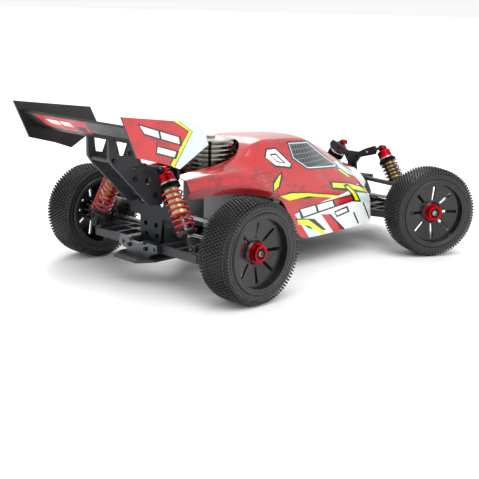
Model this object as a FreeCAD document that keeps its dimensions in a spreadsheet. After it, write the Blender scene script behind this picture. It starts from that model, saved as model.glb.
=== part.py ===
"""Nitro off-road racing buggy, eighth scale, as a parametric assembly.

Frame: +X forward, +Y left, +Z up, millimetres, origin under the middle of the
overall box on the ground. Pieces are drawn about their own axle, kingpin or
pivot and carried into place by their Placement, so heights in a piece are
measured from the axle height.
"""
import math
import os
import re

import FreeCAD
import Part
import Sketcher

LEFT = 1
RIGHT = -1
SIDES = ((LEFT, "left"), (RIGHT, "right"))

# Driving dimensions: plain numbers, each written once.
DIMS = {
    # overall
    "rear_overhang": 136.0,
    "wheelbase": 338.0,
    "front_overhang": 72.0,
    "tyre_radius": 56.0,
    "tyre_width": 42.5,
    "rear_half_track": 156.5,
    "front_half_track": 158.0,
    # clearances
    "fit": 0.05,
    "gap": 0.5,
    "open_play": 1.5,
    # wheel
    "rim_radius": 38.5,
    "flange_rise": 2.0,
    "rim_half_width": 20.0,
    "axle_radius": 4.0,
    "nut_radius": 9.0,
    "hex_radius": 9.8,
    # deck
    "deck_drop": 27.5,
    "deck_thickness": 3.0,
    "deck_half_width": 50.0,
    "deck_end_half_width": 30.0,
    # suspension
    "hinge_y": 27.0,
    "hinge_drop": 14.0,
    "hinge_pin_radius": 2.0,
    "arm_half_length": 32.0,
    "arm_half_height": 4.5,
    "arm_floor": 2.5,
    "arm_rib": 2.5,
    "holder_gap": 3.0,
    "holder_thickness": 5.0,
    "rear_hub_inset": 31.25,
    "kingpin_inset": 24.75,
    "front_hub_inset": 36.75,
    "stud_radius": 1.5,
    "eye_radius": 4.5,
    "eye_width": 6.4,
    "drive_y": 26.0,
    "drive_ball_radius": 3.8,
    "drive_shaft_radius": 2.8,
    "rear_link_y": 31.0,
    "rear_link_rise": 24.0,
    "rear_link_outer_inset": 37.25,
    "rear_link_x": -10.0,
    "front_link_rise": 28.0,
    "front_link_outer_rise": 25.0,
    "front_link_x": -10.0,
    # shock absorbers
    "rear_shock_x": -34.0,
    "rear_shock_top_y": 36.5,
    "rear_shock_top_rise": 75.0,
    "rear_shock_low_y": 86.0,
    "rear_shock_low_drop": 2.0,
    "front_shock_x": 17.0,
    "front_shock_top_y": 34.0,
    "front_shock_top_rise": 66.0,
    "front_shock_low_y": 80.0,
    "front_shock_low_drop": 2.0,
    "shock_body_radius": 8.0,
    "shock_bore_radius": 6.2,
    "shock_rod_radius": 1.75,
    "shock_cap_radius": 9.0,
    "spring_radius": 11.5,
    "spring_wire_radius": 0.9,
    "spring_turns": 7.5,
    "rear_shock_barrel": 54.0,
    "front_shock_barrel": 49.0,
    "shock_foot": 19.5,
    # steering
    "steer_rest": 26.6,
    "crank_radius": 18.0,
    "crank_post_x": -38.0,
    "crank_post_y": 18.0,
    "crank_post_radius": 3.0,
    "rod_inner_y": 24.0,
    "rod_offset_x": 8.0,
    "rod_height": 11.0,
    "rod_radius": 2.0,
    # drive line and engine, measured from the rear axle
    "shaft_drop": 8.0,
    "shaft_radius": 3.0,
    "engine_x": 69.0,
    "engine_half_length": 26.0,
    "engine_half_width": 18.0,
    "crank_rise": 14.0,
    "head_radius": 27.0,
    "head_core_radius": 15.0,
    "head_base_rise": 50.0,
    "fin_count": 10.0,
    "fin_pitch": 5.2,
    "fin_thickness": 1.6,
    "tank_x": 120.0,
    "tank_length": 62.0,
    "tank_inner_y": 17.0,
    "tank_width": 28.0,
    "tank_rise": 34.0,
    "lid_radius": 11.5,
    "lid_thickness": 4.0,
    "pipe_y": 59.0,
    "pipe_radius": 12.0,
    "pipe_rise": 9.0,
    # body shell and wing
    "shell_wall": 1.5,
    "head_opening_radius": 33.0,
    "wing_half_span": 94.5,
    "wing_sheet": 2.2,
    "end_plate": 2.4,
    "mount_y": 16.0,
    "mount_thickness": 4.0,
    "tower_thickness": 4.0,
}

# Places that follow from the driving dimensions: spreadsheet formulas.
PLACES = {
    "rear_x": "(dims.rear_overhang - dims.wheelbase - dims.front_overhang) / 2",
    "front_x": "(dims.rear_overhang + dims.wheelbase - dims.front_overhang) / 2",
    "axle_z": "dims.tyre_radius",
    "deck_top": "dims.deck_thickness - dims.deck_drop",
    "rear_wheel_y": "dims.rear_half_track - dims.tyre_width / 2",
    "front_wheel_y": "dims.front_half_track - dims.tyre_width / 2",
    "rear_hub_y": "dims.rear_half_track - dims.tyre_width / 2 - dims.rear_hub_inset",
    "front_hub_y": "dims.front_half_track - dims.tyre_width / 2 - dims.front_hub_inset",
    "kingpin_y": "dims.front_half_track - dims.tyre_width / 2 - dims.kingpin_inset",
    "wheel_dx": "dims.kingpin_inset * sin(dims.steer_rest * 1deg)",
    "wheel_dy": "dims.kingpin_inset * cos(dims.steer_rest * 1deg)",
    "crank_dx": "-dims.crank_radius * cos(dims.steer_rest * 1deg)",
    "crank_dy": "dims.crank_radius * sin(dims.steer_rest * 1deg)",
    "rear_link_outer_y": "dims.rear_half_track - dims.tyre_width / 2 - dims.rear_link_outer_inset",
    "rear_shock_out": "dims.rear_shock_low_y - dims.rear_shock_top_y",
    "rear_shock_fall": "dims.rear_shock_top_rise + dims.rear_shock_low_drop",
    "front_shock_out": "dims.front_shock_low_y - dims.front_shock_top_y",
    "front_shock_fall": "dims.front_shock_top_rise + dims.front_shock_low_drop",
    "fin_total": "dims.fin_count * dims.fin_pitch",
}
WORD = re.compile(r"[a-z_]+")

doc = FreeCAD.newDocument("buggy")
parts = []


def make_sheets():
    """Fill the sheet of driving dimensions and the sheet of derived places."""
    for label, rows in (("dims", DIMS), ("places", PLACES)):
        sheet = doc.addObject("Spreadsheet::Sheet", label)
        for row, (alias, content) in enumerate(rows.items(), start=1):
            text = f"={content}" if label == "places" else str(content)
            sheet.set(f"A{row}", text)
            sheet.setAlias(f"A{row}", alias)
    doc.recompute()


def size(alias):
    """Return the current number behind a name on either sheet."""
    sheet = doc.getObject("dims" if alias in DIMS else "places")
    return float(sheet.get(alias))


def bound(formula):
    """Prefix every sheet name in a formula with its sheet."""
    def full(match):
        word = match.group(0)
        if word in DIMS:
            return f"dims.{word}"
        return f"places.{word}" if word in PLACES else word
    return WORD.sub(full, str(formula))


def bind(item, **formulas):
    """Bind properties to formulas; a double underscore in a name stands for a dot."""
    for name, formula in formulas.items():
        path = name.replace("__", ".")
        item.setExpression("." + path if "." in path else path, bound(formula))
    return item


def at(item, x=0, y=0, z=0):
    """Bind an item's position."""
    return bind(item, Placement__Base__x=x, Placement__Base__y=y, Placement__Base__z=z)


def turn(item, axis, angle):
    """Turn an item about an axis of its own by a bound angle in degrees."""
    item.Placement = FreeCAD.Placement(item.Placement.Base, FreeCAD.Rotation(FreeCAD.Vector(*axis), 30))
    return bind(item, Placement__Rotation__Angle=angle)


def keep(label, item, x=0, y=0, z=0):
    """Register a finished sub-part under its label and place it."""
    item.Label = label
    at(item, x, y, z)
    parts.append(item)
    return item


def compound(*items):
    """Group separate solids that belong to one sub-part."""
    group = doc.addObject("Part::Compound", "Group")
    group.Links = list(items)
    return group


def fuse(*items):
    """Join solids into one."""
    joined = doc.addObject("Part::MultiFuse", "Fuse")
    joined.Shapes = list(items)
    joined.Refine = True
    return joined


def cut(base, *tools):
    """Take the tools away from the base."""
    result = doc.addObject("Part::Cut", "Cut")
    result.Base = base
    result.Tool = tools[0] if len(tools) == 1 else compound(*tools)
    return result


def box(x, y, z, length, width, height, side=LEFT):
    """Make a box from its low corner; on the right side Y is mirrored."""
    solid = doc.addObject("Part::Box", "Box")
    bind(solid, Length=length, Width=width, Height=height)
    return at(solid, x, y if side == LEFT else f"-({y}) - ({width})", z)


def rod(axis, centre, radius, length, side=LEFT):
    """Make a cylinder that starts at centre and runs along +X, +Z or outwards along Y."""
    solid = doc.addObject("Part::Cylinder", "Rod")
    bind(solid, Radius=radius, Height=length)
    if axis == "X":
        turn(solid, (0, 1, 0), 90)
    if axis == "Y":
        turn(solid, (1, 0, 0), -90 * side)
    x, y, z = centre
    return at(solid, x, f"{side} * ({y})", z)


def ball(centre, radius, side=LEFT):
    """Make a ball."""
    solid = doc.addObject("Part::Sphere", "Ball")
    bind(solid, Radius=radius)
    x, y, z = centre
    return at(solid, x, f"{side} * ({y})", z)


def sketch_on(body, role, offset, outlines):
    """Draw closed outlines of bound points on one of the body's own planes."""
    sketch = body.newObject("Sketcher::SketchObject", "Sketch")
    plane = next(item for item in body.Origin.OriginFeatures if item.Role == role)
    sketch.AttachmentSupport = [(plane, "")]
    sketch.MapMode = "FlatFace"
    bind(sketch, AttachmentOffset__Base__z=offset)
    for outline in outlines:
        first = len(sketch.Geometry)
        count = len(outline)
        for i in range(count):
            start, end = (FreeCAD.Vector(math.cos(a), math.sin(a), 0) for a in
                          (2 * math.pi * i / count, 2 * math.pi * (i + 1) / count))
            sketch.addGeometry(Part.LineSegment(start, end), False)
        for i in range(count):
            joint = Sketcher.Constraint("Coincident", first + i, 2, first + (i + 1) % count, 1)
            sketch.addConstraint(joint)
            for kind, formula in zip(("DistanceX", "DistanceY"), outline[i]):
                index = sketch.addConstraint(Sketcher.Constraint(kind, -1, 1, first + i, 1, 1.0))
                sketch.setExpression(f"Constraints[{index}]", bound(formula))
    return sketch


def circles_on(body, role, offset, circles):
    """Draw circles, each (u, v, radius), on one of the body's own planes."""
    sketch = sketch_on(body, role, offset, [])
    for i, (u, v, radius) in enumerate(circles):
        sketch.addGeometry(Part.Circle(FreeCAD.Vector(i, 0, 0), FreeCAD.Vector(0, 0, 1), 1), False)
        for kind, formula in (("DistanceX", u), ("DistanceY", v)):
            index = sketch.addConstraint(Sketcher.Constraint(kind, -1, 1, i, 3, 1.0))
            sketch.setExpression(f"Constraints[{index}]", bound(formula))
        index = sketch.addConstraint(Sketcher.Constraint("Radius", i, 1.0))
        sketch.setExpression(f"Constraints[{index}]", bound(radius))
    return sketch


# Plane of a plate -> its origin plane and the sign that turns a place into the plane's offset.
PLANES = {"XY": ("XY_Plane", 1), "XZ": ("XZ_Plane", -1), "YZ": ("YZ_Plane", 1)}


def plate(plane, start, thickness, *outlines):
    """Pad outlines into a plate that runs from start towards the positive axis."""
    role, sign = PLANES[plane]
    body = doc.addObject("PartDesign::Body", "Plate")
    pad = body.newObject("PartDesign::Pad", "Pad")
    pad.Profile = sketch_on(body, role, f"{sign} * ({start})", outlines)
    pad.Reversed = sign < 0
    bind(pad, Length=thickness)
    return body


def pierce(body, plane, circles):
    """Drill round holes right through a plate."""
    role, _ = PLANES[plane]
    pocket = body.newObject("PartDesign::Pocket", "Holes")
    pocket.Profile = circles_on(body, role, 0, circles)
    pocket.Type = "ThroughAll"
    pocket.SideType = "Symmetric"
    return body


def turned(outline, side=LEFT):
    """Revolve a profile of (radius, outboard distance) points about the Y axis."""
    body = doc.addObject("PartDesign::Body", "Turned")
    revolution = body.newObject("PartDesign::Revolution", "Turn")
    points = [(radius, f"{side} * ({along})") for radius, along in outline]
    sketch = sketch_on(body, "XY_Plane", 0, [points])
    revolution.Profile = sketch
    revolution.ReferenceAxis = (sketch, ["V_Axis"])
    revolution.Angle = 360
    return body


def mirrored(half):
    """Complete a half outline, listed from bottom to top on +Y, with its mirror image."""
    other = [(f"-({y})", z) for y, z in reversed(half) if y != 0]
    return list(half) + other


def ring(axis, centre, outer, inner, length, side=LEFT):
    """Make a plain ring with a bore."""
    return cut(rod(axis, centre, outer, length, side), rod(axis, centre, inner, length, side))


# ---------------------------------------------------------------- wheels

def tyre(side):
    """Closed tyre section seated on the rim, tread at the tyre radius."""
    half = [("rim_radius", "rim_half_width - 1.8"), ("rim_radius + flange_rise + 0.3", "rim_half_width - 1.8"),
            ("rim_radius + 3.2", "tyre_width / 2 - 1.2"), ("rim_radius + 6.5", "tyre_width / 2"),
            ("rim_radius + 11", "tyre_width / 2"), ("tyre_radius - 2", "tyre_width / 2 - 1.5"),
            ("tyre_radius", "tyre_width / 2 - 5")]
    other = [(radius, f"-({along})") for radius, along in reversed(half)]
    return turned(half + other, side)


def rim(side):
    """Dish wheel with eight radial slots."""
    inner = "(rim_radius - flange_rise)"
    flange = "rim_radius + flange_rise"
    lip = "rim_half_width - 1.6"
    body = turned([("axle_radius", -4), (11, -4), (12, 5.2), (inner, 9.2), (inner, "-rim_half_width"),
                   (flange, "-rim_half_width"), (flange, f"-({lip})"), ("rim_radius", f"-({lip})"),
                   ("rim_radius", lip), (flange, lip), (flange, "rim_half_width"),
                   (f"{inner} + 0.5", "rim_half_width"), (f"{inner} - 0.8", 12.2), (13, 8.2), (11, 10),
                   ("axle_radius", 10)], side)
    slot = body.newObject("PartDesign::Pocket", "Slot")
    slot.Profile = sketch_on(body, "XZ_Plane", 0, [[(-1.5, 15), (1.5, 15), (2.0, 33), (-2.0, 33)]])
    slot.Type = "ThroughAll"
    slot.SideType = "Symmetric"
    pattern = body.newObject("PartDesign::PolarPattern", "Slots")
    pattern.Originals = [slot]
    pattern.Axis = (next(item for item in body.Origin.OriginFeatures if item.Role == "Y_Axis"), [""])
    pattern.Angle = 360
    pattern.Occurrences = 8
    body.Tip = pattern
    return body


def hex_drive(side):
    """Hexagon adaptor that drives the rim."""
    prism = doc.addObject("Part::Prism", "Hexagon")
    prism.Polygon = 6
    bind(prism, Circumradius="hex_radius", Height=7)
    turn(prism, (1, 0, 0), -90 * side)
    at(prism, 0, f"{side} * (-11)", 0)
    return cut(prism, rod("Y", (0, -12, 0), "axle_radius", 9, side))


def wheel_nut(side):
    """Flanged nut outside the dish, with the axle end in its middle."""
    flange = rod("Y", (0, 10, 0), "nut_radius + 1.5", 1.6, side)
    barrel = rod("Y", (0, 11.6, 0), "nut_radius", 5.4, side)
    return cut(fuse(flange, barrel), rod("Y", (0, 9, 0), "axle_radius", 9, side))


def stub_axle(side, inner, has_cup):
    """Axle from the hub to the nut; a rear one starts in a drive cup."""
    shaft = rod("Y", (0, f"-({inner})", 0), "axle_radius", f"{inner} + 15", side)
    if not has_cup:
        return shaft
    cup = rod("Y", (0, f"-({inner}) - 9", 0), "drive_ball_radius + 2.5", 11, side)
    hollow = rod("Y", (0, f"-({inner}) - 10", 0), "drive_ball_radius + 0.8", 10, side)
    return fuse(cut(cup, hollow), shaft)


def make_wheels():
    """Four tyres and rims; the front pair is turned to the resting steer angle."""
    for side, name in SIDES:
        for end in ("front", "rear"):
            rear = end == "rear"
            inner = "rear_hub_inset" if rear else "kingpin_inset - 3"
            solids = [rim(side), hex_drive(side), wheel_nut(side), stub_axle(side, inner, rear)]
            if rear:
                place = ("rear_x", f"{side} * rear_wheel_y", "axle_z")
            else:
                place = (f"front_x + {side} * wheel_dx", f"{side} * (kingpin_y + wheel_dy)", "axle_z")
            for label, item in (("tyre", compound(tyre(side))), ("rim", compound(*solids))):
                if not rear:
                    turn(item, (0, 0, 1), "-steer_rest")
                keep(f"{label}_{end}_{name}", item, *place)


# ---------------------------------------------------------------- suspension

def arm(side, end, name):
    """Ribbed lower arm with a hinge barrel inside and a fork and pin outside."""
    rear = end == "rear"
    hub = "rear_hub_y" if rear else "front_hub_y"
    fork = 15 if rear else 13
    tine = 5.5 if rear else 4.5
    low = "-hinge_drop - arm_half_height"
    back = [("-arm_half_length", 27), ("-arm_half_length", 88)] if rear else \
           [("-arm_half_length", 27), ("-arm_half_length", 38), (-18, 80)]
    outline = back + [(-fork, f"{hub} - 7"), (fork, f"{hub} - 7"), (18, 82), ("arm_half_length", 38),
                      ("arm_half_length", 27)]
    body = plate("XY", low, "2 * arm_half_height", [(x, f"{side} * ({y})") for x, y in outline])
    pocket = body.newObject("PartDesign::Pocket", "Cells")
    cells = []
    for row in range(3):
        near = f"34 + {row} * (({hub} - 46) / 3 + arm_rib)"
        far = f"34 + {row} * (({hub} - 46) / 3 + arm_rib) + ({hub} - 46) / 3 - arm_rib"
        for hand in (-1, 1):
            edges = []
            for reach in (near, far):
                taper = 0 if rear and hand < 0 else 0.31
                edges.append(f"arm_half_length - 4 - {taper} * ({reach} - 30)")
            cells.append([(f"{hand} * arm_rib / 2", f"{side} * ({near})"),
                          (f"{hand} * ({edges[0]})", f"{side} * ({near})"),
                          (f"{hand} * ({edges[1]})", f"{side} * ({far})"),
                          (f"{hand} * arm_rib / 2", f"{side} * ({far})")])
    pocket.Profile = sketch_on(body, "XY_Plane", f"{low} + arm_floor", cells)
    pocket.Reversed = True
    pocket.Type = "ThroughAll"
    barrel = rod("X", ("-arm_half_length", "hinge_y", "-hinge_drop"), 5, "2 * arm_half_length", side)
    tines = [box(x, f"{hub} - 8", low, tine, 12.5, "2 * arm_half_height", side) for x in (-fork, fork - tine)]
    bore = rod("X", ("-arm_half_length - 1", "hinge_y", "-hinge_drop"), "hinge_pin_radius + fit",
               "2 * arm_half_length + 2", side)
    pin = rod("X", (f"-{fork} - 1", hub, "-hinge_drop"), "hinge_pin_radius", 2 * fork + 2, side)
    lug_x = "rear_shock_x + 3.6" if rear else "front_shock_x - 8.5"
    low_y = f"{end}_shock_low_y"
    drop = f"{end}_shock_low_drop"
    lug = box(lug_x, f"{low_y} - 5", low, 5, 10, f"hinge_drop + arm_half_height - {drop} + 4", side)
    stud = rod("X", ("rear_shock_x - 4" if rear else lug_x, low_y, f"-{drop}"), "stud_radius", 12, side)
    keep(f"arm_{end}_{name}", cut(fuse(body, barrel, *tines, pin, lug, stud), bore), f"{end}_x", 0, "axle_z")


def link(side, end, name):
    """Upper link: a rear camber rod, or a front upper arm with a wide hinge barrel."""
    rear = end == "rear"
    inner = ("rear_link_y", "rear_link_rise") if rear else ("hinge_y", "front_link_rise")
    outer = ("rear_link_outer_y", "rear_link_rise") if rear else ("front_hub_y", "front_link_outer_rise")
    middle = f"{end}_link_x"
    hole = "stud_radius" if rear else "hinge_pin_radius"
    half = "eye_width / 2" if rear else "9"
    barrel = rod("X", (f"{middle} - {half}", *inner), "eye_radius", f"2 * {half}", side)
    eye = rod("X", (f"{middle} - eye_width / 2", *outer), "eye_radius", "eye_width", side)
    beam = plate("YZ", f"{middle} - {2 if rear else 4}", 4 if rear else 8,
                 [(f"{side} * ({y})", f"{z} {step}")
                  for (y, z), step in ((inner, "- 2"), (outer, "- 2"), (outer, "+ 2"), (inner, "+ 2"))])
    bore = rod("X", (f"{middle} - {half} - 1", *inner), f"{hole} + fit", f"2 * {half} + 2", side)
    socket = rod("X", (f"{middle} - 6", *outer), "stud_radius + open_play", 12, side)
    keep(f"link_{end}_{name}", cut(fuse(barrel, eye, beam), bore, socket), f"{end}_x", 0, "axle_z")


def rear_upright(side, name):
    """Rear hub carrier between the lower arm, the camber rod and the axle."""
    lug = rod("X", (-9, "rear_hub_y", "-hinge_drop"), 5, 18, side)
    web = box(-9, "rear_hub_y - 3", "-hinge_drop", 18, 9, "hinge_drop + 10", side)
    housing = rod("Y", (0, "rear_hub_y - 4", 0), 11, 18, side)
    post = box(-5, "rear_link_outer_y - 4", 8, 9, 10, 21, side)
    stud = rod("X", ("rear_link_x - 4", "rear_link_outer_y", "rear_link_rise"), "stud_radius", 10, side)
    hinge = rod("X", (-10, "rear_hub_y", "-hinge_drop"), "hinge_pin_radius + fit", 20, side)
    bearing = rod("Y", (0, "rear_hub_y", 0), "axle_radius + fit", 20, side)
    cup_room = rod("Y", (0, "rear_hub_y - 10", 0), "drive_ball_radius + 3.2", 12.5, side)
    keep(f"upright_rear_{name}", cut(fuse(lug, web, housing, post, stud), hinge, bearing, cup_room),
         "rear_x", 0, "axle_z")


def c_hub(side, name):
    """Front hub carrier: a web on the lower arm with two kingpin plates."""
    reach = "kingpin_y - front_hub_y + 6"
    web = box(-9.5, "front_hub_y - 5", -8, 19, 6, 27.5, side)
    low = box(-8, "front_hub_y - 5", "-hinge_drop - 5", 16, f"{reach} + 5", 5, side)
    foot = box(-8, "front_hub_y - 5", "-hinge_drop - 5", 16, 6, "hinge_drop", side)
    lug = rod("X", (-8, "front_hub_y", "-hinge_drop"), 5, 16, side)
    high = box(-8, "front_hub_y - 5", 16, 16, f"{reach} + 5", 3.5, side)
    post = box(-5, "front_hub_y - 4", 18, 9, 8, "front_link_outer_rise - 14", side)
    stud = rod("X", ("front_link_x - 4", "front_hub_y", "front_link_outer_rise"), "stud_radius", 10, side)
    pins = [rod("Z", (0, "kingpin_y", z), "hinge_pin_radius", 7, side) for z in ("-hinge_drop - 4", 12)]
    hinge = rod("X", (-9, "front_hub_y", "-hinge_drop"), "hinge_pin_radius + fit", 18, side)
    window = rod("Y", (0, "front_hub_y - 8", 0), "drive_ball_radius + 2.7", 12, side)
    solid = cut(fuse(web, low, foot, lug, high, post, stud, *pins), hinge, window)
    keep(f"c_hub_{name}", solid, "front_x", 0, "axle_z")


def knuckle(side, name):
    """Steering knuckle about the kingpin, turned to the resting steer angle."""
    barrel = rod("Z", (0, 0, "-hinge_drop + gap"), 6.5, "hinge_drop + 16 - 2 * gap", side)
    housing = rod("Y", (0, 0, 0), 10, 12, side)
    horn = box("-crank_radius - 4", -3.5, 2, "crank_radius + 4", 7, 4)
    stud = rod("Z", ("-crank_radius", 0, 5), "stud_radius", "rod_height - 5 + 4.5")
    bearing = rod("Y", (0, -8, 0), "axle_radius + fit", 22, side)
    pins = [rod("Z", (0, 0, z), "hinge_pin_radius + fit", 9, side) for z in ("-hinge_drop - 6 + gap", 11.5)]
    item = cut(fuse(barrel, housing, horn, stud), bearing, *pins)
    turn(item, (0, 0, 1), "-steer_rest")
    keep(f"knuckle_{name}", item, "front_x", f"{side} * kingpin_y", "axle_z")


def driveshaft(side, end, name):
    """Dogbone between the differential cup and the hub."""
    outer = "rear_hub_y - 4" if end == "rear" else "front_hub_y + 1"
    solid = fuse(ball((0, "drive_y", 0), "drive_ball_radius", side), ball((0, outer, 0), "drive_ball_radius", side),
                 rod("Y", (0, "drive_y", 0), "drive_shaft_radius", f"{outer} - drive_y", side))
    keep(f"driveshaft_{end}_{name}", solid, f"{end}_x", 0, "axle_z")


def shock(side, end, name):
    """Coil-over shock absorber drawn along -Z from its top pivot, then leaned outwards."""
    barrel_end = f"{end}_shock_barrel"
    length = f"sqrt({end}_shock_out * {end}_shock_out + {end}_shock_fall * {end}_shock_fall)"
    foot = f"{length} - shock_foot"
    lean = f"{side} * atan2({end}_shock_out; {end}_shock_fall) / 1deg"
    place = (f"{end}_x + {end}_shock_x", f"{side} * {end}_shock_top_y", f"axle_z + {end}_shock_top_rise")

    eye = rod("X", ("-eye_width / 2", 0, 0), "eye_radius", "eye_width")
    neck = rod("Z", (0, 0, -5), "eye_radius - 1", 3)
    cap = rod("Z", (0, 0, -14), "shock_cap_radius", 10)
    bore = rod("X", ("-eye_width", 0, 0), "hinge_pin_radius + fit", "2 * eye_width")
    top = cut(fuse(eye, neck, cap), bore)
    barrel = cut(rod("Z", (0, 0, f"-{barrel_end}"), "shock_body_radius", f"{barrel_end} - 14"),
                 rod("Z", (0, 0, f"-{barrel_end} + 3"), "shock_bore_radius", f"{barrel_end} - 17"),
                 rod("Z", (0, 0, f"-{barrel_end} - 1"), "shock_rod_radius + fit", 5))
    seat = ring("Z", (0, 0, -16), "shock_cap_radius + 0.4", "shock_body_radius", 2)
    collar = ring("Z", (0, 0, -22), "spring_radius", "shock_body_radius", 5)
    body = compound(top, barrel, seat, collar)

    helix = doc.addObject("Part::Helix", "Coil")
    bind(helix, Radius="spring_radius - spring_wire_radius",
         Height=f"{foot} - 22 - 2 * spring_wire_radius - 2 * gap",
         Pitch=f"({foot} - 22 - 2 * spring_wire_radius - 2 * gap) / spring_turns")
    helix.SegmentLength = 0.5
    helix.recompute()
    wire = doc.addObject("Part::Circle", "Wire")
    bind(wire, Radius="spring_wire_radius")
    turn(wire, (1, 0, 0), 90)
    at(wire, "spring_radius - spring_wire_radius", 0, 0)
    coil = doc.addObject("Part::Sweep", "Spring")
    coil.Sections = [wire]
    coil.Spine = (helix, [f"Edge{index + 1}" for index in range(len(helix.Shape.Edges))])
    coil.Solid = True
    coil.Frenet = True
    at(coil, 0, 0, f"-({foot}) + spring_wire_radius + gap")
    spring = compound(coil)

    stem = rod("Z", (0, 0, f"-({length}) + 3"), "shock_rod_radius", f"{length} - 3 - {barrel_end} + 16")
    cup = rod("Z", (0, 0, f"-({foot}) - 3"), "spring_radius", 3)
    boot = rod("Z", (0, 0, f"-({length}) + 3"), 3.4, 10)
    low_eye = rod("X", ("-eye_width / 2", 0, f"-({length})"), "eye_radius + 0.5", "eye_width")
    socket = rod("X", ("-eye_width", 0, f"-({length})"), "stud_radius + open_play", "2 * eye_width")
    piston = cut(fuse(stem, cup, boot, low_eye), socket)

    for label, item in (("shock_body", body), ("spring", spring), ("shock_rod", piston)):
        turn(item, (1, 0, 0), lean)
        keep(f"{label}_{end}_{name}", item, *place)


def make_suspension():
    """Every arm, link, hub, driveshaft and shock absorber."""
    for side, name in SIDES:
        for end in ("front", "rear"):
            arm(side, end, name)
            link(side, end, name)
            driveshaft(side, end, name)
            shock(side, end, name)
        rear_upright(side, name)
        c_hub(side, name)
        knuckle(side, name)


def make_arm_holders():
    """Hinge blocks across the deck, the hinge pins in them and the front upper arm blocks."""
    solids = []
    for end in ("rear", "front"):
        for x in ("-arm_half_length - holder_gap - holder_thickness", "arm_half_length + holder_gap"):
            solids.append(at(cut(
                fuse(box(0, -20, "deck_top", "holder_thickness", 40, "-hinge_drop - deck_top - 5"),
                     plate("YZ", 0, "holder_thickness",
                           mirrored([("hinge_y - 1", "-hinge_drop - 6"), ("hinge_y + 6", "-hinge_drop - 3"),
                                     ("hinge_y + 6", "-hinge_drop + 6"), (18, "-hinge_drop + 6"),
                                     (12, "-hinge_drop + 3")]))),
                *[rod("X", (-1, "hinge_y", "-hinge_drop"), "hinge_pin_radius", "holder_thickness + 2", side)
                  for side, _ in SIDES]), f"{end}_x + {x}", 0, "axle_z"))
        for side, _ in SIDES:
            reach = "arm_half_length + holder_gap + holder_thickness + 1.5"
            pin = rod("X", (0, 0, 0), "hinge_pin_radius", f"2 * ({reach})")
            solids.append(at(pin, f"{end}_x - ({reach})", f"{side} * hinge_y", "axle_z - hinge_drop"))
    for x in ("front_link_x - 14.5", "front_link_x + 10"):
        block = plate("YZ", 0, 4, mirrored([(12, 20), ("hinge_y + 5", "front_link_rise - 4"),
                                            ("hinge_y + 5", "front_link_rise + 4"), (12, "front_link_rise + 3")]))
        holes = [rod("X", (-1, "hinge_y", "front_link_rise"), "hinge_pin_radius", 6, side) for side, _ in SIDES]
        solids.append(at(cut(block, *holes), f"front_x + {x}", 0, "axle_z"))
    for side, _ in SIDES:
        pin = rod("X", (0, 0, 0), "hinge_pin_radius", 30)
        solids.append(at(pin, "front_x + front_link_x - 15", f"{side} * hinge_y", "axle_z + front_link_rise"))
    keep("arm_holders", compound(*solids))


# ---------------------------------------------------------------- steering

def make_steering():
    """Two cranks, the plate between them and the tie rods, at the resting steer angle."""
    post = ("front_x + crank_post_x", "crank_post_y", "axle_z")
    for side, label in ((LEFT, "servo_saver"), (RIGHT, "idler_crank")):
        barrel = rod("Z", (0, 0, -6), 6, 12)
        horn = box("-crank_radius", -4, 1, "crank_radius", 8, "rod_height - 5.5")
        boss = rod("Z", ("-crank_radius", 0, 1), 4, "rod_height - 5.5")
        pin = rod("Z", ("-crank_radius", 0, 4), "hinge_pin_radius", "rod_height - 1.5")
        solids = [barrel, horn, boss, pin]
        if side == LEFT:
            solids.append(box(-4, 4, -4.5, 8, 18, 4.5))
            solids.append(rod("Z", (0, 0, -6), 8, 6))
        item = cut(fuse(*solids), rod("Z", (0, 0, -8), "crank_post_radius + fit", 30))
        turn(item, (0, 0, 1), "-steer_rest")
        keep(label, item, post[0], f"{side} * {post[1]}", post[2])
    bar = box(-4, "-rod_inner_y - 4", "rod_height - 3.9", 8, "2 * rod_inner_y + 8", 4)
    lugs = [box(1, "rod_inner_y - 3", "rod_height - 3.9", 3.5, 6, 7, side) for side, _ in SIDES]
    studs = [rod("X", (1, "rod_inner_y", "rod_height"), "stud_radius", "rod_offset_x + 3", side) for side, _ in SIDES]
    holes = [rod("Z", (0, "crank_post_y", -1), "hinge_pin_radius + fit", 30, side) for side, _ in SIDES]
    bar = cut(fuse(bar, *lugs, *studs), *holes)
    keep("steering_plate", bar, "front_x + crank_post_x + crank_dx", "crank_dy", "axle_z")
    for side, name in SIDES:
        run = "(-crank_post_x - rod_offset_x)"
        span = "(kingpin_y - rod_inner_y)"
        inner = cut(rod("X", ("-eye_width / 2", 0, 0), "eye_radius", "eye_width"),
                    rod("X", ("-eye_width", 0, 0), "stud_radius + fit", "2 * eye_width"))
        shaft = rod("Z", (0, 0, 0), "rod_radius", f"sqrt({run} * {run} + {span} * {span}) - 9")
        shaft.Placement = FreeCAD.Placement(FreeCAD.Vector(0, 0, 0), FreeCAD.Rotation(
            FreeCAD.Vector(0, 0, 1), FreeCAD.Vector(-size("crank_post_x") - size("rod_offset_x"),
                                                    side * (size("kingpin_y") - size("rod_inner_y")), 0)))
        at(shaft, f"{run} * 0.045", f"{side} * {span} * 0.045", 0)
        outer = ring("Z", (run, span, -2.5), "stud_radius + open_play + 2", "stud_radius + open_play", 5, side)
        shaft_end = cut(shaft, rod("Z", (run, span, -5), "stud_radius + open_play + 1", 10, side))
        item = fuse(inner, shaft_end, outer)
        keep(f"tie_rod_{name}", item, "front_x + crank_post_x + crank_dx + rod_offset_x",
             f"{side} * rod_inner_y + crank_dy", "axle_z + rod_height")


# ---------------------------------------------------------------- deck and drive line

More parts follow.
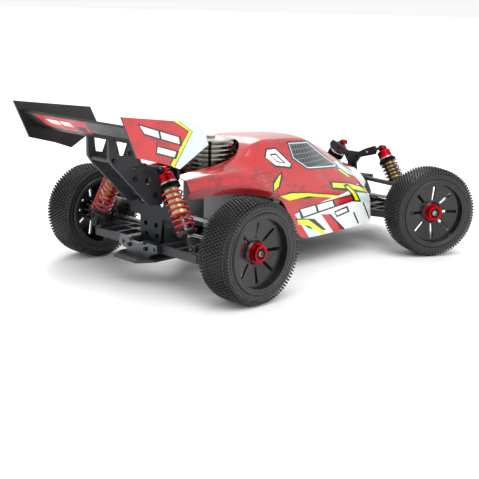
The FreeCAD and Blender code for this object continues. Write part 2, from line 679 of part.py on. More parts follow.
def make_chassis():
    """Deck plate with narrow ends, plus the steering posts and the deck's lightening holes."""
    reach = "(arm_half_length + holder_gap + holder_thickness + 1)"
    half = [("deck_end_half_width", f"rear_x - {reach}"), ("deck_end_half_width", "rear_x + 38"),
            ("deck_half_width", "rear_x + 66"), ("deck_half_width", "front_x - 78"),
            ("deck_end_half_width", "front_x - 46"), ("deck_end_half_width", f"front_x + {reach}")]
    points = [(x, y) for y, x in half] + [(x, f"-({y})") for y, x in reversed(half)]
    deck = plate("XY", "-deck_drop", "deck_thickness", points)
    pierce(deck, "XY", [(f"rear_x + {x}", y, radius) for x, y, radius in
                        ((75, 40, 4), (75, -40, 4), (110, 0, 7), (250, 30, 5), (250, -30, 5), (200, 0, 6))])
    keep("chassis_plate", deck, 0, 0, "axle_z")


def make_guards():
    """Side guards along the deck, the front bumper and the rear skid plate."""
    reach = "arm_half_length + holder_gap + holder_thickness + 1"
    solids = []
    for side, _ in SIDES:
        outline = [("deck_half_width", "-deck_drop"), ("deck_half_width + 24", "-deck_drop + 8"),
                   ("deck_half_width + 26", "-deck_drop + 19"), ("deck_half_width + 23.5", "-deck_drop + 19"),
                   ("deck_half_width + 22", "-deck_drop + 10.5"), ("deck_half_width", "deck_top")]
        guard = plate("YZ", "rear_x + 70", "wheelbase - 150", [(f"{side} * ({y})", z) for y, z in outline])
        solids.append(guard)
    nose = plate("XY", "-deck_drop", 5, [(f"front_x + {reach}", -34), ("front_x + front_overhang", -22),
                                         ("front_x + front_overhang", 22), (f"front_x + {reach}", 34)])
    lip = plate("XZ", -22, 44, [("front_x + front_overhang - 16", "-deck_drop + 5"),
                                ("front_x + front_overhang - 9", "-deck_drop + 5"),
                                ("front_x + front_overhang - 2", "-deck_drop + 18"),
                                ("front_x + front_overhang - 7", "-deck_drop + 18")])
    skid = plate("XY", "-deck_drop", 3, [(f"rear_x - ({reach})", -30), (f"rear_x - ({reach})", 30),
                                         (f"rear_x - ({reach}) - 18", 20), (f"rear_x - ({reach}) - 18", -20)])
    solids += [fuse(nose, lip), skid]
    keep("guards", compound(*solids), 0, 0, "axle_z")


def make_gearboxes():
    """Front and rear differential cases with their four drive cups."""
    solids = []
    for end, nose in (("rear", 17), ("front", -30)):
        case = plate("YZ", -17, 34, mirrored([(20, "deck_top"), (20, 6), (12, 20)]))
        snout = rod("X", (nose, 0, "-shaft_drop"), 10, 13)
        solids.append(at(fuse(case, snout), f"{end}_x", 0, 0))
        for side, _ in SIDES:
            cup = cut(rod("Y", (0, 20, 0), "drive_ball_radius + 3", "drive_y - 16", side),
                      rod("Y", (0, "drive_y - 4.6", 0), "drive_ball_radius + 0.9", 10, side))
            solids.append(at(cup, f"{end}_x", 0, 0))
    keep("diff_cases", compound(*solids), 0, 0, "axle_z")


def make_centre_drive():
    """Centre differential with its spur gear and brake disc on the two long shafts."""
    rear = rod("X", ("rear_x + 30", 0, "-shaft_drop"), "shaft_radius", 77.5)
    spur = rod("X", ("rear_x + 107.5", 0, "-shaft_drop"), 15.5, 6)
    case = rod("X", ("rear_x + 113.5", 0, "-shaft_drop"), 13.5, 22.5)
    front = rod("X", ("rear_x + 136", 0, "-shaft_drop"), "shaft_radius", "wheelbase - 136 - 30")
    disc = ring("X", ("rear_x + 144", 0, "-shaft_drop"), 13, "shaft_radius", 1.4)
    keep("centre_drive", compound(rear, spur, case, front, disc), 0, 0, "axle_z")


def make_engine():
    """Crankcase on two mounts, carburettor, air filter and clutch bell."""
    x0 = "rear_x + engine_x - engine_half_length"
    length = "2 * engine_half_length"
    case = box(x0, "-engine_half_width", -2, length, "2 * engine_half_width", "head_base_rise + 2")
    mounts = [box(f"{x0} + 4", 12, "deck_top", f"{length} - 8", 6, "-2 - deck_top", side) for side, _ in SIDES]
    nose = rod("X", (f"{x0} + {length}", 0, "crank_rise"), 11, 12)
    throat = rod("Z", (f"{x0} + {length} + 7.5", 0, "crank_rise"), 6, 34)
    block = fuse(case, *mounts, nose, throat)
    bell = rod("X", (f"{x0} + {length} + 14", 0, "crank_rise"), 6.2, 8)
    air_filter = rod("Z", (f"{x0} + {length} + 15.5", 0, "crank_rise + 34"), 13, 24)
    keep("engine", compound(block, bell, air_filter), 0, 0, "axle_z")


def make_cooling_head():
    """Core with round fins and a top plate."""
    core = rod("Z", (0, 0, 0), "head_core_radius", "fin_total - fin_pitch + fin_thickness")
    fins = [rod("Z", (0, 0, f"{index} * fin_pitch"), "head_radius", "fin_thickness")
            for index in range(int(size("fin_count")))]
    plug = rod("Z", (0, 0, "fin_total - fin_pitch + fin_thickness"), 5, 3)
    keep("cooling_head", fuse(core, *fins, plug), "rear_x + engine_x", 0, "axle_z + head_base_rise")


def make_exhaust():
    """Manifold from the engine's left side into a tuned pipe beside the tank."""
    reach = "(pipe_y - engine_half_width)"
    manifold = rod("Y", ("rear_x + engine_x - 6", "engine_half_width", "pipe_rise"), 5, reach)
    elbow = ball(("rear_x + engine_x - 6", "pipe_y", "pipe_rise"), 5)
    inlet = rod("X", ("rear_x + engine_x - 6", "pipe_y", "pipe_rise"), 5, 20)
    cone = doc.addObject("Part::Cone", "Cone")
    bind(cone, Radius1=5, Radius2="pipe_radius", Height=30)
    turn(cone, (0, 1, 0), 90)
    at(cone, "rear_x + engine_x + 14", "pipe_y", "pipe_rise")
    can = rod("X", ("rear_x + engine_x + 44", "pipe_y", "pipe_rise"), "pipe_radius", 56)
    tail = rod("X", ("rear_x + engine_x + 100", "pipe_y", "pipe_rise"), 3.5, 18)
    keep("exhaust", fuse(manifold, elbow, inlet, cone, can, tail), 0, 0, "axle_z")


def make_fuel_tank():
    """Fuel tank on the deck with a filler neck and a hinged lid."""
    shell = box("rear_x + tank_x", "tank_inner_y", "deck_top", "tank_length", "tank_width", "tank_rise - deck_top")
    middle = "tank_inner_y + tank_width / 2"
    neck = rod("Z", ("rear_x + tank_x + lid_radius + 4", middle, "tank_rise"), "lid_radius - 2", 4)
    ear = box("rear_x + tank_x - 1", f"{middle} - 6", "tank_rise", 4, 12, 3.2)
    keep("fuel_tank", fuse(shell, neck, ear), 0, 0, "axle_z")
    lid = rod("Z", ("lid_radius + 3", 0, 0), "lid_radius", "lid_thickness")
    tab = box(-1.2, -5, 0, 8, 10, 2.5)
    keep("fuel_lid", fuse(lid, tab), "rear_x + tank_x + 1", middle, "axle_z + tank_rise + 4.4")


def make_radio_box():
    """Receiver box with its lid, and the throttle and steering servos."""
    shell = box("rear_x + 152", -49, "deck_top", 62, 32, 28)
    lid = box("rear_x + 150", -51, "deck_top + 28", 66, 36, 3)
    steering = box("front_x - 96", 6, "deck_top", 22, 40, 28)
    horn = box("front_x - 90", 12, "deck_top + 28", 5, 24, 3)
    keep("radio_box", compound(shell, lid, steering, horn), 0, 0, "axle_z")


# ---------------------------------------------------------------- towers, wing and shell

def studs(end, length):
    """Shock pivots that stand out of a tower, with their nuts."""
    solids = []
    for side, _ in SIDES:
        centre = (f"{end}_shock_x", f"{end}_shock_top_y", f"{end}_shock_top_rise")
        start = -4.5 if end == "rear" else 4.5 - length
        pin = rod("X", (f"{end}_shock_x + {start}", *centre[1:]), "hinge_pin_radius", length, side)
        nut = rod("X", (f"{end}_shock_x + {-6.5 if end == 'rear' else 4}", *centre[1:]), 3.4, 2.5, side)
        solids += [pin, nut]
    return solids


def make_rear_tower():
    """Rear shock tower plate on the back of the gearbox."""
    half = [(17, -12), (19, 16), (36, 18), (38, 30), (34, 42), (44, 68),
            ("rear_shock_top_y + 7", "rear_shock_top_rise + 5"),
            ("rear_shock_top_y", "rear_shock_top_rise + 8"), (29, 80), (22, 62)]
    body = plate("YZ", "-17 - tower_thickness", "tower_thickness", mirrored(half))
    pierce(body, "YZ", [(f"{side} * {y}", z, radius) for side, _ in SIDES for y, z, radius in
                        ((16, 34, 5), (30, 56, 3), (9, 8, 3))])
    link_studs = [rod("X", (-17, "rear_link_y", "rear_link_rise"), "stud_radius", "17 + rear_link_x + 4", side)
                  for side, _ in SIDES]
    keep("rear_shock_tower", fuse(body, *studs("rear", 20), *link_studs), "rear_x", 0, "axle_z")


def make_front_tower():
    """Front shock tower: a stem with two long arms, standing on the gearbox."""
    half = [(14, 20), (14, 26), (8, 33), (6.5, 44), (13, 53), (28, 57),
            ("front_shock_top_y + 4", "front_shock_top_rise - 6"), ("front_shock_top_y + 6", "front_shock_top_rise"),
            ("front_shock_top_y + 2", "front_shock_top_rise + 5"),
            (22, "front_shock_top_rise"), (10, 60)]
    body = plate("YZ", "-tower_thickness", "tower_thickness", mirrored(half))
    pierce(body, "YZ", [(f"{side} * {y}", z, radius) for side, _ in SIDES for y, z, radius in
                        ((24, 61.5, 2), (8, 54, 1.6))] + [(0, 28, 3)])
    keep("front_shock_tower", fuse(body, *studs("front", 22)), "front_x", 0, "axle_z")


def make_wing_mount():
    """Two side plates behind the rear tower that carry the wing, tied by two cross tubes."""
    outline = [(-21, 34), (-21, 76), (-38, 78), (-51, 83), (-58, 107.7), (-66, 108.32), (-73, 92), (-84, 94),
               (-86, 109.88), (-94, 110.5), (-94, 90), (-89, 83), (-39, 34)]
    plates = []
    for side, _ in SIDES:
        start = "mount_y" if side == LEFT else "-mount_y - mount_thickness"
        side_plate = plate("XZ", start, "mount_thickness", outline)
        plates.append(pierce(side_plate, "XZ", [(-42, 62, 4), (-60, 80, 3)]))
    tubes = [rod("Y", (x, "-mount_y", z), radius, "2 * mount_y") for x, z, radius in ((-88, 88, 3), (-32, 45, 4))]
    keep("wing_mount", compound(*plates, *tubes), "rear_x", 0, "axle_z")


def make_wing():
    """Moulded wing: a bent main plane, two tall end plates and two strakes."""
    low = [(-43, 112), (-58, 107.7), (-94, 110.5), (-112, 119), (-126, 132)]
    high = [(x + 1.2 * index / 4, f"{z} + wing_sheet") for index, (x, z) in enumerate(low)]
    plane = plate("XZ", "-wing_half_span", "2 * wing_half_span", low + list(reversed(high)))
    solids = [plane]
    corners = [("-rear_overhang", 144), (-35, 132), (-23, 109), (-62, 87), (-82, 94), (-117, 103)]
    strake = [(-58, 107.9), (-94, 110.7), (-112, 119.5), (-124, 131), (-118, 132), (-100, 118), (-62, 114)]
    for side, _ in SIDES:
        edge = "wing_half_span - end_plate" if side == LEFT else "-wing_half_span"
        solids.append(plate("XZ", edge, "end_plate", corners))
        fence = 40 if side == LEFT else -41.6
        solids.append(plate("XZ", fence, 1.6, strake))
    keep("rear_wing", fuse(*solids), "rear_x", 0, "axle_z")


def shell_section(x, points):
    """Return a closed wire across the shell at x through the half section points."""
    loop = points + [(-y, z) for y, z in reversed(points)]
    vectors = [FreeCAD.Vector(x, y, z) for y, z in loop]
    return Part.makePolygon(vectors + vectors[:1])


def shell_stations():
    """Return the shell's outer stations: x and the half section from sill to roof."""
    rear = size("rear_x")
    front = size("front_x")
    return [
        (rear - 13, [(50, 41), (56, 52), (50, 63), (34, 66), (14, 67)]),
        (rear + 37, [(56, 45), (64, 56), (56, 67), (38, 70), (14, 72)]),
        (rear + 82, [(66, 42), (78, 48), (62, 64), (42, 80), (16, 85)]),
        (rear + 99, [(72, 36), (80, 42), (62, 61), (40, 94), (18, 96)]),
        (rear + 110, [(79, 34), (80, 40), (62, 60), (40, 96), (18, 98)]),
        (rear + 140, [(80, -20), (80, 36), (62, 57), (40, 95.5), (18, 98.5)]),
        (rear + 190, [(80, -20), (80, 31), (61, 53), (38, 93), (18, 96.5)]),
        (front - 134, [(80, -19.5), (80, 29), (60, 50), (36, 88), (18, 94)]),
        (front - 96, [(80, -19), (80, 24), (58, 47), (33, 67), (16, 80)]),
        (front - 60, [(80, -18), (76, 17), (52, 43), (30, 51), (15, 61)]),
        (front - 49, [(78, -18), (73, 12), (49, 38), (28, 46), (14, 54)]),
    ]


def shell_loft(stations, inset, lengthen):
    """Loft through the stations, moved inwards by inset and past both ends by lengthen."""
    wires = []
    for index, (x, points) in enumerate(stations):
        last = index == len(stations) - 1
        shift = -lengthen if index == 0 else lengthen if last else 0
        inner = [(y - inset, z - inset) for y, z in points]
        if inset:
            y, z = inner[0]
            inner[0] = (y, z - 3)
        wires.append(shell_section(x + shift, inner))
    return Part.makeLoft(wires, True, True)


def make_body_shell():
    """Thin painted shell: pods and cab, a narrow nose over the gearbox and a hole for the head."""
    wall = size("shell_wall")
    front = size("front_x")
    stations = shell_stations()
    nose = [(front - 49, [(48, 37), (46, 39), (34, 45), (28, 46), (14, 54)]),
            (front - 28, [(45, 24), (43, 29), (33, 38), (24, 43), (12, 47)]),
            (front - 27.5, [(45, 24), (43, 29), (33, 38), (24, 43), (12, 47)])]
    outer = shell_loft(stations, 0, 0)
    hollow = shell_loft(stations, wall, 0.5)
    nose_outer = shell_loft(nose, 0, 0)
    nose_hollow = shell_loft(nose, wall, 0.5)
    skin = outer.cut(hollow).fuse(nose_outer.cut(nose_hollow))
    centre = size("rear_x") + size("engine_x")
    opening = size("head_opening_radius")
    hole = Part.makeCylinder(opening, 200, FreeCAD.Vector(centre, 0, 0))
    slot = Part.makeBox(100, 2 * opening, 200, FreeCAD.Vector(centre - 100, -opening, 0))
    shell = doc.addObject("Part::Feature", "Shell")
    shell.Shape = skin.cut(hole.fuse(slot)).removeSplitter()
    keep("body_shell", shell, 0, 0, "axle_z")


def make_fasteners():
    """Screw heads on the hinge blocks, the towers, the deck and the gearbox tops."""
    heads = []
    for side, _ in SIDES:
        for x, y, z in (("rear_x - 42", 14, "-hinge_drop - 1"), ("rear_x - 23", 9, -4),
                        ("rear_x - 23", 12, 44), ("front_x + 40", 14, "-hinge_drop - 1")):
            heads.append(rod("X", (x, y, z), 2.4, 2, side))
        for x in ("rear_x + 60", "rear_x + 80", "rear_x + 100", "front_x - 70"):
            heads.append(rod("Z", (x, 24, "deck_top"), 2.6, 2, side))
    posts = [rod("Z", ("front_x + crank_post_x", "crank_post_y", "-hinge_drop + 6"), "crank_post_radius",
                 "hinge_drop", side) for side, _ in SIDES]
    keep("fasteners", compound(*heads, *posts), 0, 0, "axle_z")


def check_model():
    """Stop if any object failed or any sub-part is empty or invalid."""
    for item in doc.Objects:
        bad = [state for state in item.State if state in ("Invalid", "Error")]
        if bad:
            raise RuntimeError(f"{item.Name} ({item.Label}) is {bad}")
    for item in parts:
        if item.Shape.isNull() or not item.Shape.isValid():
            raise RuntimeError(f"{item.Label} has no valid shape")


def export():
    """Write one STEP file for each sub-part."""
    os.makedirs("parts", exist_ok=True)
    for item in parts:
        item.Shape.exportStep(f"parts/{item.Label}.step")
    print(f"{len(parts)} sub-parts written")


make_sheets()
make_wheels()
make_suspension()
make_arm_holders()
make_steering()
make_chassis()
make_guards()
make_gearboxes()
make_centre_drive()
make_engine()
make_cooling_head()
make_exhaust()
make_fuel_tank()
make_radio_box()
make_rear_tower()
make_front_tower()
make_wing_mount()
make_wing()
make_body_shell()
make_fasteners()
doc.recompute()
check_model()
export()
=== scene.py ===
"""Looks of an eighth scale nitro off-road buggy on its packed assembly.

The frame is the assembly's own: +X forward, +Y left, +Z up. Sizes held by the
classes are millimetres, and meshes are written in metres.
"""
import logging
import math
from collections.abc import Callable, Sequence
from dataclasses import dataclass, field
from enum import Enum

import bmesh
import bpy
from mathutils import Matrix, Vector


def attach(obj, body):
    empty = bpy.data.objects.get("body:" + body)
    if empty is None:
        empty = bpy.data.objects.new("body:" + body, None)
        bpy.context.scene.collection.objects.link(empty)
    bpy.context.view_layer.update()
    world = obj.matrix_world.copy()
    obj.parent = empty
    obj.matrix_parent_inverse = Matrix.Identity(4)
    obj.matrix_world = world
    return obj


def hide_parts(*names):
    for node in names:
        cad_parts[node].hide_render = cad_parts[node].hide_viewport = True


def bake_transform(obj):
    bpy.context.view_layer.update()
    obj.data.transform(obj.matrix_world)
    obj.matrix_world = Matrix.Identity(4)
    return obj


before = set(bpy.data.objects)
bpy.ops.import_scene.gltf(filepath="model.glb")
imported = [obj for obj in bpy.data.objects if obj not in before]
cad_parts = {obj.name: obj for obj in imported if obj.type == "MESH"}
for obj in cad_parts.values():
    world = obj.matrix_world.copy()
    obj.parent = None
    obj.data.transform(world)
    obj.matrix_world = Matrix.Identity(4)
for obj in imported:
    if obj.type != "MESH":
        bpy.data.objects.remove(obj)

logging.basicConfig(level=logging.INFO, format="%(message)s")
LOG = logging.getLogger("buggy")

MM = 0.001
Point2 = tuple[float, float]
Point3 = tuple[float, float, float]
NODES: dict[str, bpy.types.Object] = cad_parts


class Side(Enum):
    """Side of the buggy: its name and the sign of Y."""

    LEFT = ("left", 1)
    RIGHT = ("right", -1)

    @property
    def label(self) -> str:
        """Return the word used in node names."""
        return self.value[0]

    @property
    def sign(self) -> int:
        """Return the sign of Y on this side."""
        return self.value[1]


class End(Enum):
    """End of the buggy."""

    FRONT = "front"
    REAR = "rear"


# ---------------------------------------------------------------- node helpers


def linear(code: str) -> tuple[float, float, float, float]:
    """Turn an sRGB hex colour into linear RGBA.

    Args:
        code: Six hex digits after a hash sign.

    Returns:
        Linear red, green, blue and an alpha of one.
    """
    shares = [int(code[i : i + 2], 16) / 255 for i in (1, 3, 5)]
    curve = [s / 12.92 if s <= 0.04045 else ((s + 0.055) / 1.055) ** 2.4 for s in shares]
    return (curve[0], curve[1], curve[2], 1.0)


def add(tree: bpy.types.NodeTree, kind: str, inputs: dict | None = None,
        **settings: object) -> bpy.types.Node:
    """Add a node with its settings, its values and its links.

    Args:
        tree: Shader or geometry tree that gets the node.
        kind: Blender's name of the node class.
        inputs: Socket name or index, to a value or to the socket that feeds it.
        **settings: Properties of the node itself.

    Returns:
        The new node.
    """
    made = tree.nodes.new(kind)
    for name, value in settings.items():
        setattr(made, name, value)
    for key, value in (inputs or {}).items():
        if isinstance(value, bpy.types.NodeSocket):
            tree.links.new(value, made.inputs[key])
        else:
            made.inputs[key].default_value = value
    return made


# ------------------------------------------------------------------- finishes


@dataclass(frozen=True)
class Finish:
    """A surface, named for its material and how it was made."""

    name: str

    def paint(self, tree: bpy.types.NodeTree, place: bpy.types.NodeSocket, skin: bpy.types.Node) -> None:
        """Fill the principled shader; place is the object's position in millimetres."""
        raise NotImplementedError

    def material(self) -> bpy.types.Material:
        """Return the finish's material, made once.

        Returns:
            The material.
        """
        if self.name in bpy.data.materials:
            return bpy.data.materials[self.name]
        made = bpy.data.materials.new(self.name)
        made.use_nodes = True
        tree = made.node_tree
        tree.nodes.clear()
        coordinates = add(tree, "ShaderNodeTexCoord")
        place = add(tree, "ShaderNodeVectorMath", {0: coordinates.outputs["Object"], "Scale": 1 / MM},
                    operation="SCALE")
        skin = add(tree, "ShaderNodeBsdfPrincipled")
        add(tree, "ShaderNodeOutputMaterial", {"Surface": skin.outputs["BSDF"]})
        self.paint(tree, place.outputs["Vector"], skin)
        return made


def varied(tree: bpy.types.NodeTree, place: bpy.types.NodeSocket, size: float, dark: str, light: str,
           detail: float = 3.0) -> tuple[bpy.types.NodeSocket, bpy.types.NodeSocket]:
    """Mix two colours by soft noise whose blotches are size millimetres across.

    Args:
        tree: Shader tree.
        place: Position in millimetres.
        size: Width of a blotch.
        dark: Hex colour of the low places.
        light: Hex colour of the high places.
        detail: Octaves of finer noise.

    Returns:
        The colour socket and the noise value socket.
    """
    noise = add(tree, "ShaderNodeTexNoise", {"Vector": place, "Scale": 1 / size, "Detail": detail})
    mix = add(tree, "ShaderNodeMix", {0: noise.outputs["Fac"], 6: linear(dark), 7: linear(light)},
              data_type="RGBA")
    return mix.outputs[2], noise.outputs["Fac"]


def roughen(tree: bpy.types.NodeTree, fac: bpy.types.NodeSocket, skin: bpy.types.Node, low: float,
            high: float) -> None:
    """Drive roughness between two values by a noise socket.

    Args:
        tree: Shader tree.
        fac: Pattern that spreads the roughness.
        skin: Principled shader.
        low: Roughness where the pattern is low.
        high: Roughness where it is high.
    """
    spread = add(tree, "ShaderNodeMapRange",
                 {"Value": fac, "From Min": 0.3, "From Max": 0.7, "To Min": low, "To Max": high})
    tree.links.new(spread.outputs["Result"], skin.inputs["Roughness"])


def bumped(tree: bpy.types.NodeTree, height: bpy.types.NodeSocket, skin: bpy.types.Node, depth: float,
           strength: float = 1.0) -> None:
    """Send a height through a bump node; depth is in millimetres."""
    bump = add(tree, "ShaderNodeBump", {"Height": height, "Distance": depth * MM, "Strength": strength})
    tree.links.new(bump.outputs["Normal"], skin.inputs["Normal"])


@dataclass(frozen=True)
class MouldedNylon(Finish):
    """Glass-filled nylon as moulded: satin, with a fine spark-eroded grain and faint flow marks."""

    dark: str = "#141415"
    light: str = "#242527"
    roughness: float = 0.42
    grain: float = 0.7
    fields: tuple = ()

    def paint(self, tree: bpy.types.NodeTree, place: bpy.types.NodeSocket, skin: bpy.types.Node) -> None:
        """Fill the shader with flow marks and grain.

        Args:
            tree: Shader tree of the finish.
            place: Position on the piece in millimetres.
            skin: Principled shader to fill.
        """
        colour, marks = varied(tree, place, 18.0, self.dark, self.light)
        tree.links.new(laid(tree, place, colour, self.fields), skin.inputs["Base Color"])
        roughen(tree, marks, skin, self.roughness - 0.08, self.roughness + 0.1)
        grain = add(tree, "ShaderNodeTexNoise", {"Vector": place, "Scale": 1 / self.grain, "Detail": 2.0})
        bumped(tree, grain.outputs["Fac"], skin, 0.05)
        skin.inputs["IOR"].default_value = 1.53


@dataclass(frozen=True)
class AnodisedAluminium(Finish):
    """Dyed aluminium oxide over a milled surface: metallic colour with a soft sheen and fine tool lines."""

    dark: str = "#8c0d16"
    light: str = "#c8141f"
    roughness: float = 0.3
    line: float = 0.5

    def paint(self, tree: bpy.types.NodeTree, place: bpy.types.NodeSocket, skin: bpy.types.Node) -> None:
        """Fill the shader with a metallic dye and stretched tool lines.

        Args:
            tree: Shader tree of the finish.
            place: Position on the piece in millimetres.
            skin: Principled shader to fill.
        """
        colour, shade = varied(tree, place, 12.0, self.dark, self.light)
        tree.links.new(colour, skin.inputs["Base Color"])
        skin.inputs["Metallic"].default_value = 1.0
        roughen(tree, shade, skin, self.roughness - 0.06, self.roughness + 0.08)
        drawn = add(tree, "ShaderNodeMapping", {"Vector": place, "Scale": (0.15, 1.0, 1.0)})
        lines = add(tree, "ShaderNodeTexNoise",
                    {"Vector": drawn.outputs["Vector"], "Scale": 1 / self.line, "Detail": 1.0})
        bumped(tree, lines.outputs["Fac"], skin, 0.02)


@dataclass(frozen=True)
class TurnedAluminium(Finish):
    """Bare aluminium off the lathe: bright, with fine rings about an upright axis and oily patches."""

    dark: str = "#8b8d90"
    light: str = "#c9cbcd"
    roughness: float = 0.28
    ring: float = 0.9
    axis: Point3 = (0.0, 0.0, 0.0)

    def paint(self, tree: bpy.types.NodeTree, place: bpy.types.NodeSocket, skin: bpy.types.Node) -> None:
        """Fill the shader with turning rings about the axis through the given point.

        Args:
            tree: Shader tree of the finish.
            place: Position on the piece in millimetres.
            skin: Principled shader to fill.
        """
        colour, shade = varied(tree, place, 15.0, self.dark, self.light)
        tree.links.new(colour, skin.inputs["Base Color"])
        skin.inputs["Metallic"].default_value = 1.0
        roughen(tree, shade, skin, self.roughness - 0.08, self.roughness + 0.12)
        centred = add(tree, "ShaderNodeMapping", {"Vector": place, "Location": tuple(-c for c in self.axis)})
        rings = add(tree, "ShaderNodeTexWave",
                    {"Vector": centred.outputs["Vector"], "Scale": 1 / (self.ring * 3.2), "Distortion": 0.4},
                    wave_type="RINGS", rings_direction="Z")
        bumped(tree, rings.outputs["Fac"], skin, 0.03)


@dataclass(frozen=True)
class GroundSteel(Finish):
    """Ground and polished steel: narrow grey highlights with faint fine scratches."""

    dark: str = "#5f6163"
    light: str = "#a9abad"
    roughness: float = 0.22

    def paint(self, tree: bpy.types.NodeTree, place: bpy.types.NodeSocket, skin: bpy.types.Node) -> None:
        """Fill the shader with grey metal and scratches.

        Args:
            tree: Shader tree of the finish.
            place: Position on the piece in millimetres.
            skin: Principled shader to fill.
        """
        colour, shade = varied(tree, place, 6.0, self.dark, self.light)
        tree.links.new(colour, skin.inputs["Base Color"])
        skin.inputs["Metallic"].default_value = 1.0
        roughen(tree, shade, skin, self.roughness - 0.06, self.roughness + 0.12)
        scratches = add(tree, "ShaderNodeTexNoise", {"Vector": place, "Scale": 1 / 0.4, "Detail": 1.0})
        bumped(tree, scratches.outputs["Fac"], skin, 0.01)


@dataclass(frozen=True)
class TyreRubber(Finish):
    """Moulded off-road rubber: nearly black and matt, greyer where it has been handled."""

    dark: str = "#0f1010"
    light: str = "#202122"
    roughness: float = 0.52

    def paint(self, tree: bpy.types.NodeTree, place: bpy.types.NodeSocket, skin: bpy.types.Node) -> None:
        """Fill the shader with soft blotches and a fine mould texture.

        Args:
            tree: Shader tree of the finish.
            place: Position on the piece in millimetres.
            skin: Principled shader to fill.
        """
        colour, shade = varied(tree, place, 9.0, self.dark, self.light)
        tree.links.new(colour, skin.inputs["Base Color"])
        roughen(tree, shade, skin, self.roughness - 0.1, self.roughness + 0.12)
        grain = add(tree, "ShaderNodeTexNoise", {"Vector": place, "Scale": 1 / 0.5, "Detail": 2.0})
        bumped(tree, grain.outputs["Fac"], skin, 0.05)
        skin.inputs["IOR"].default_value = 1.52
        skin.inputs["Sheen Weight"].default_value = 0.08


@dataclass(frozen=True)
class OpenFoam(Finish):
    """Oiled open-cell foam: dark, full of small pits, with no gloss."""

    dark: str = "#15161a"
    light: str = "#2d3037"
    cell: float = 1.6

    def paint(self, tree: bpy.types.NodeTree, place: bpy.types.NodeSocket, skin: bpy.types.Node) -> None:
        """Fill the shader with cells and pits. Painted shade darkens the colour in the pits.

        Args:
            tree: Shader tree of the finish.
            place: Position on the piece in millimetres.
            skin: Principled shader to fill.
        """
        cells = add(tree, "ShaderNodeTexVoronoi", {"Vector": place, "Scale": 1 / self.cell})
        # The colour follows the pits' depth: it is darker in the pits as painted shade and lighter on the cell walls,
        # over the foam's own dark colour.
        mix = add(tree, "ShaderNodeMix",
                  {0: cells.outputs["Distance"], 6: linear(self.dark),
                   7: linear(self.light)}, data_type="RGBA")
        tree.links.new(mix.outputs[2], skin.inputs["Base Color"])
        skin.inputs["Roughness"].default_value = 0.9
        bumped(tree, cells.outputs["Distance"], skin, 0.5)


@dataclass(frozen=True)
class BlownPolyethylene(Finish):
    """Blow-moulded polyethylene: waxy and a little see-through, with a soft wide highlight."""

    dark: str = "#b9bab4"
    light: str = "#d9dad3"

    def paint(self, tree: bpy.types.NodeTree, place: bpy.types.NodeSocket, skin: bpy.types.Node) -> None:
        """Fill the shader with waxy colour and light passing below the surface.

        Args:
            tree: Shader tree of the finish.
            place: Position on the piece in millimetres.
            skin: Principled shader to fill.
        """
        colour, shade = varied(tree, place, 22.0, self.dark, self.light)
        tree.links.new(colour, skin.inputs["Base Color"])
        roughen(tree, shade, skin, 0.35, 0.5)
        skin.inputs["Subsurface Weight"].default_value = 0.35
        skin.inputs["Subsurface Scale"].default_value = 4 * MM
        skin.inputs["IOR"].default_value = 1.51


class View(Enum):
    """Side a masked colour field is sprayed from."""

    SIDE = "side"
    UNDER_TAIL = "under tail"


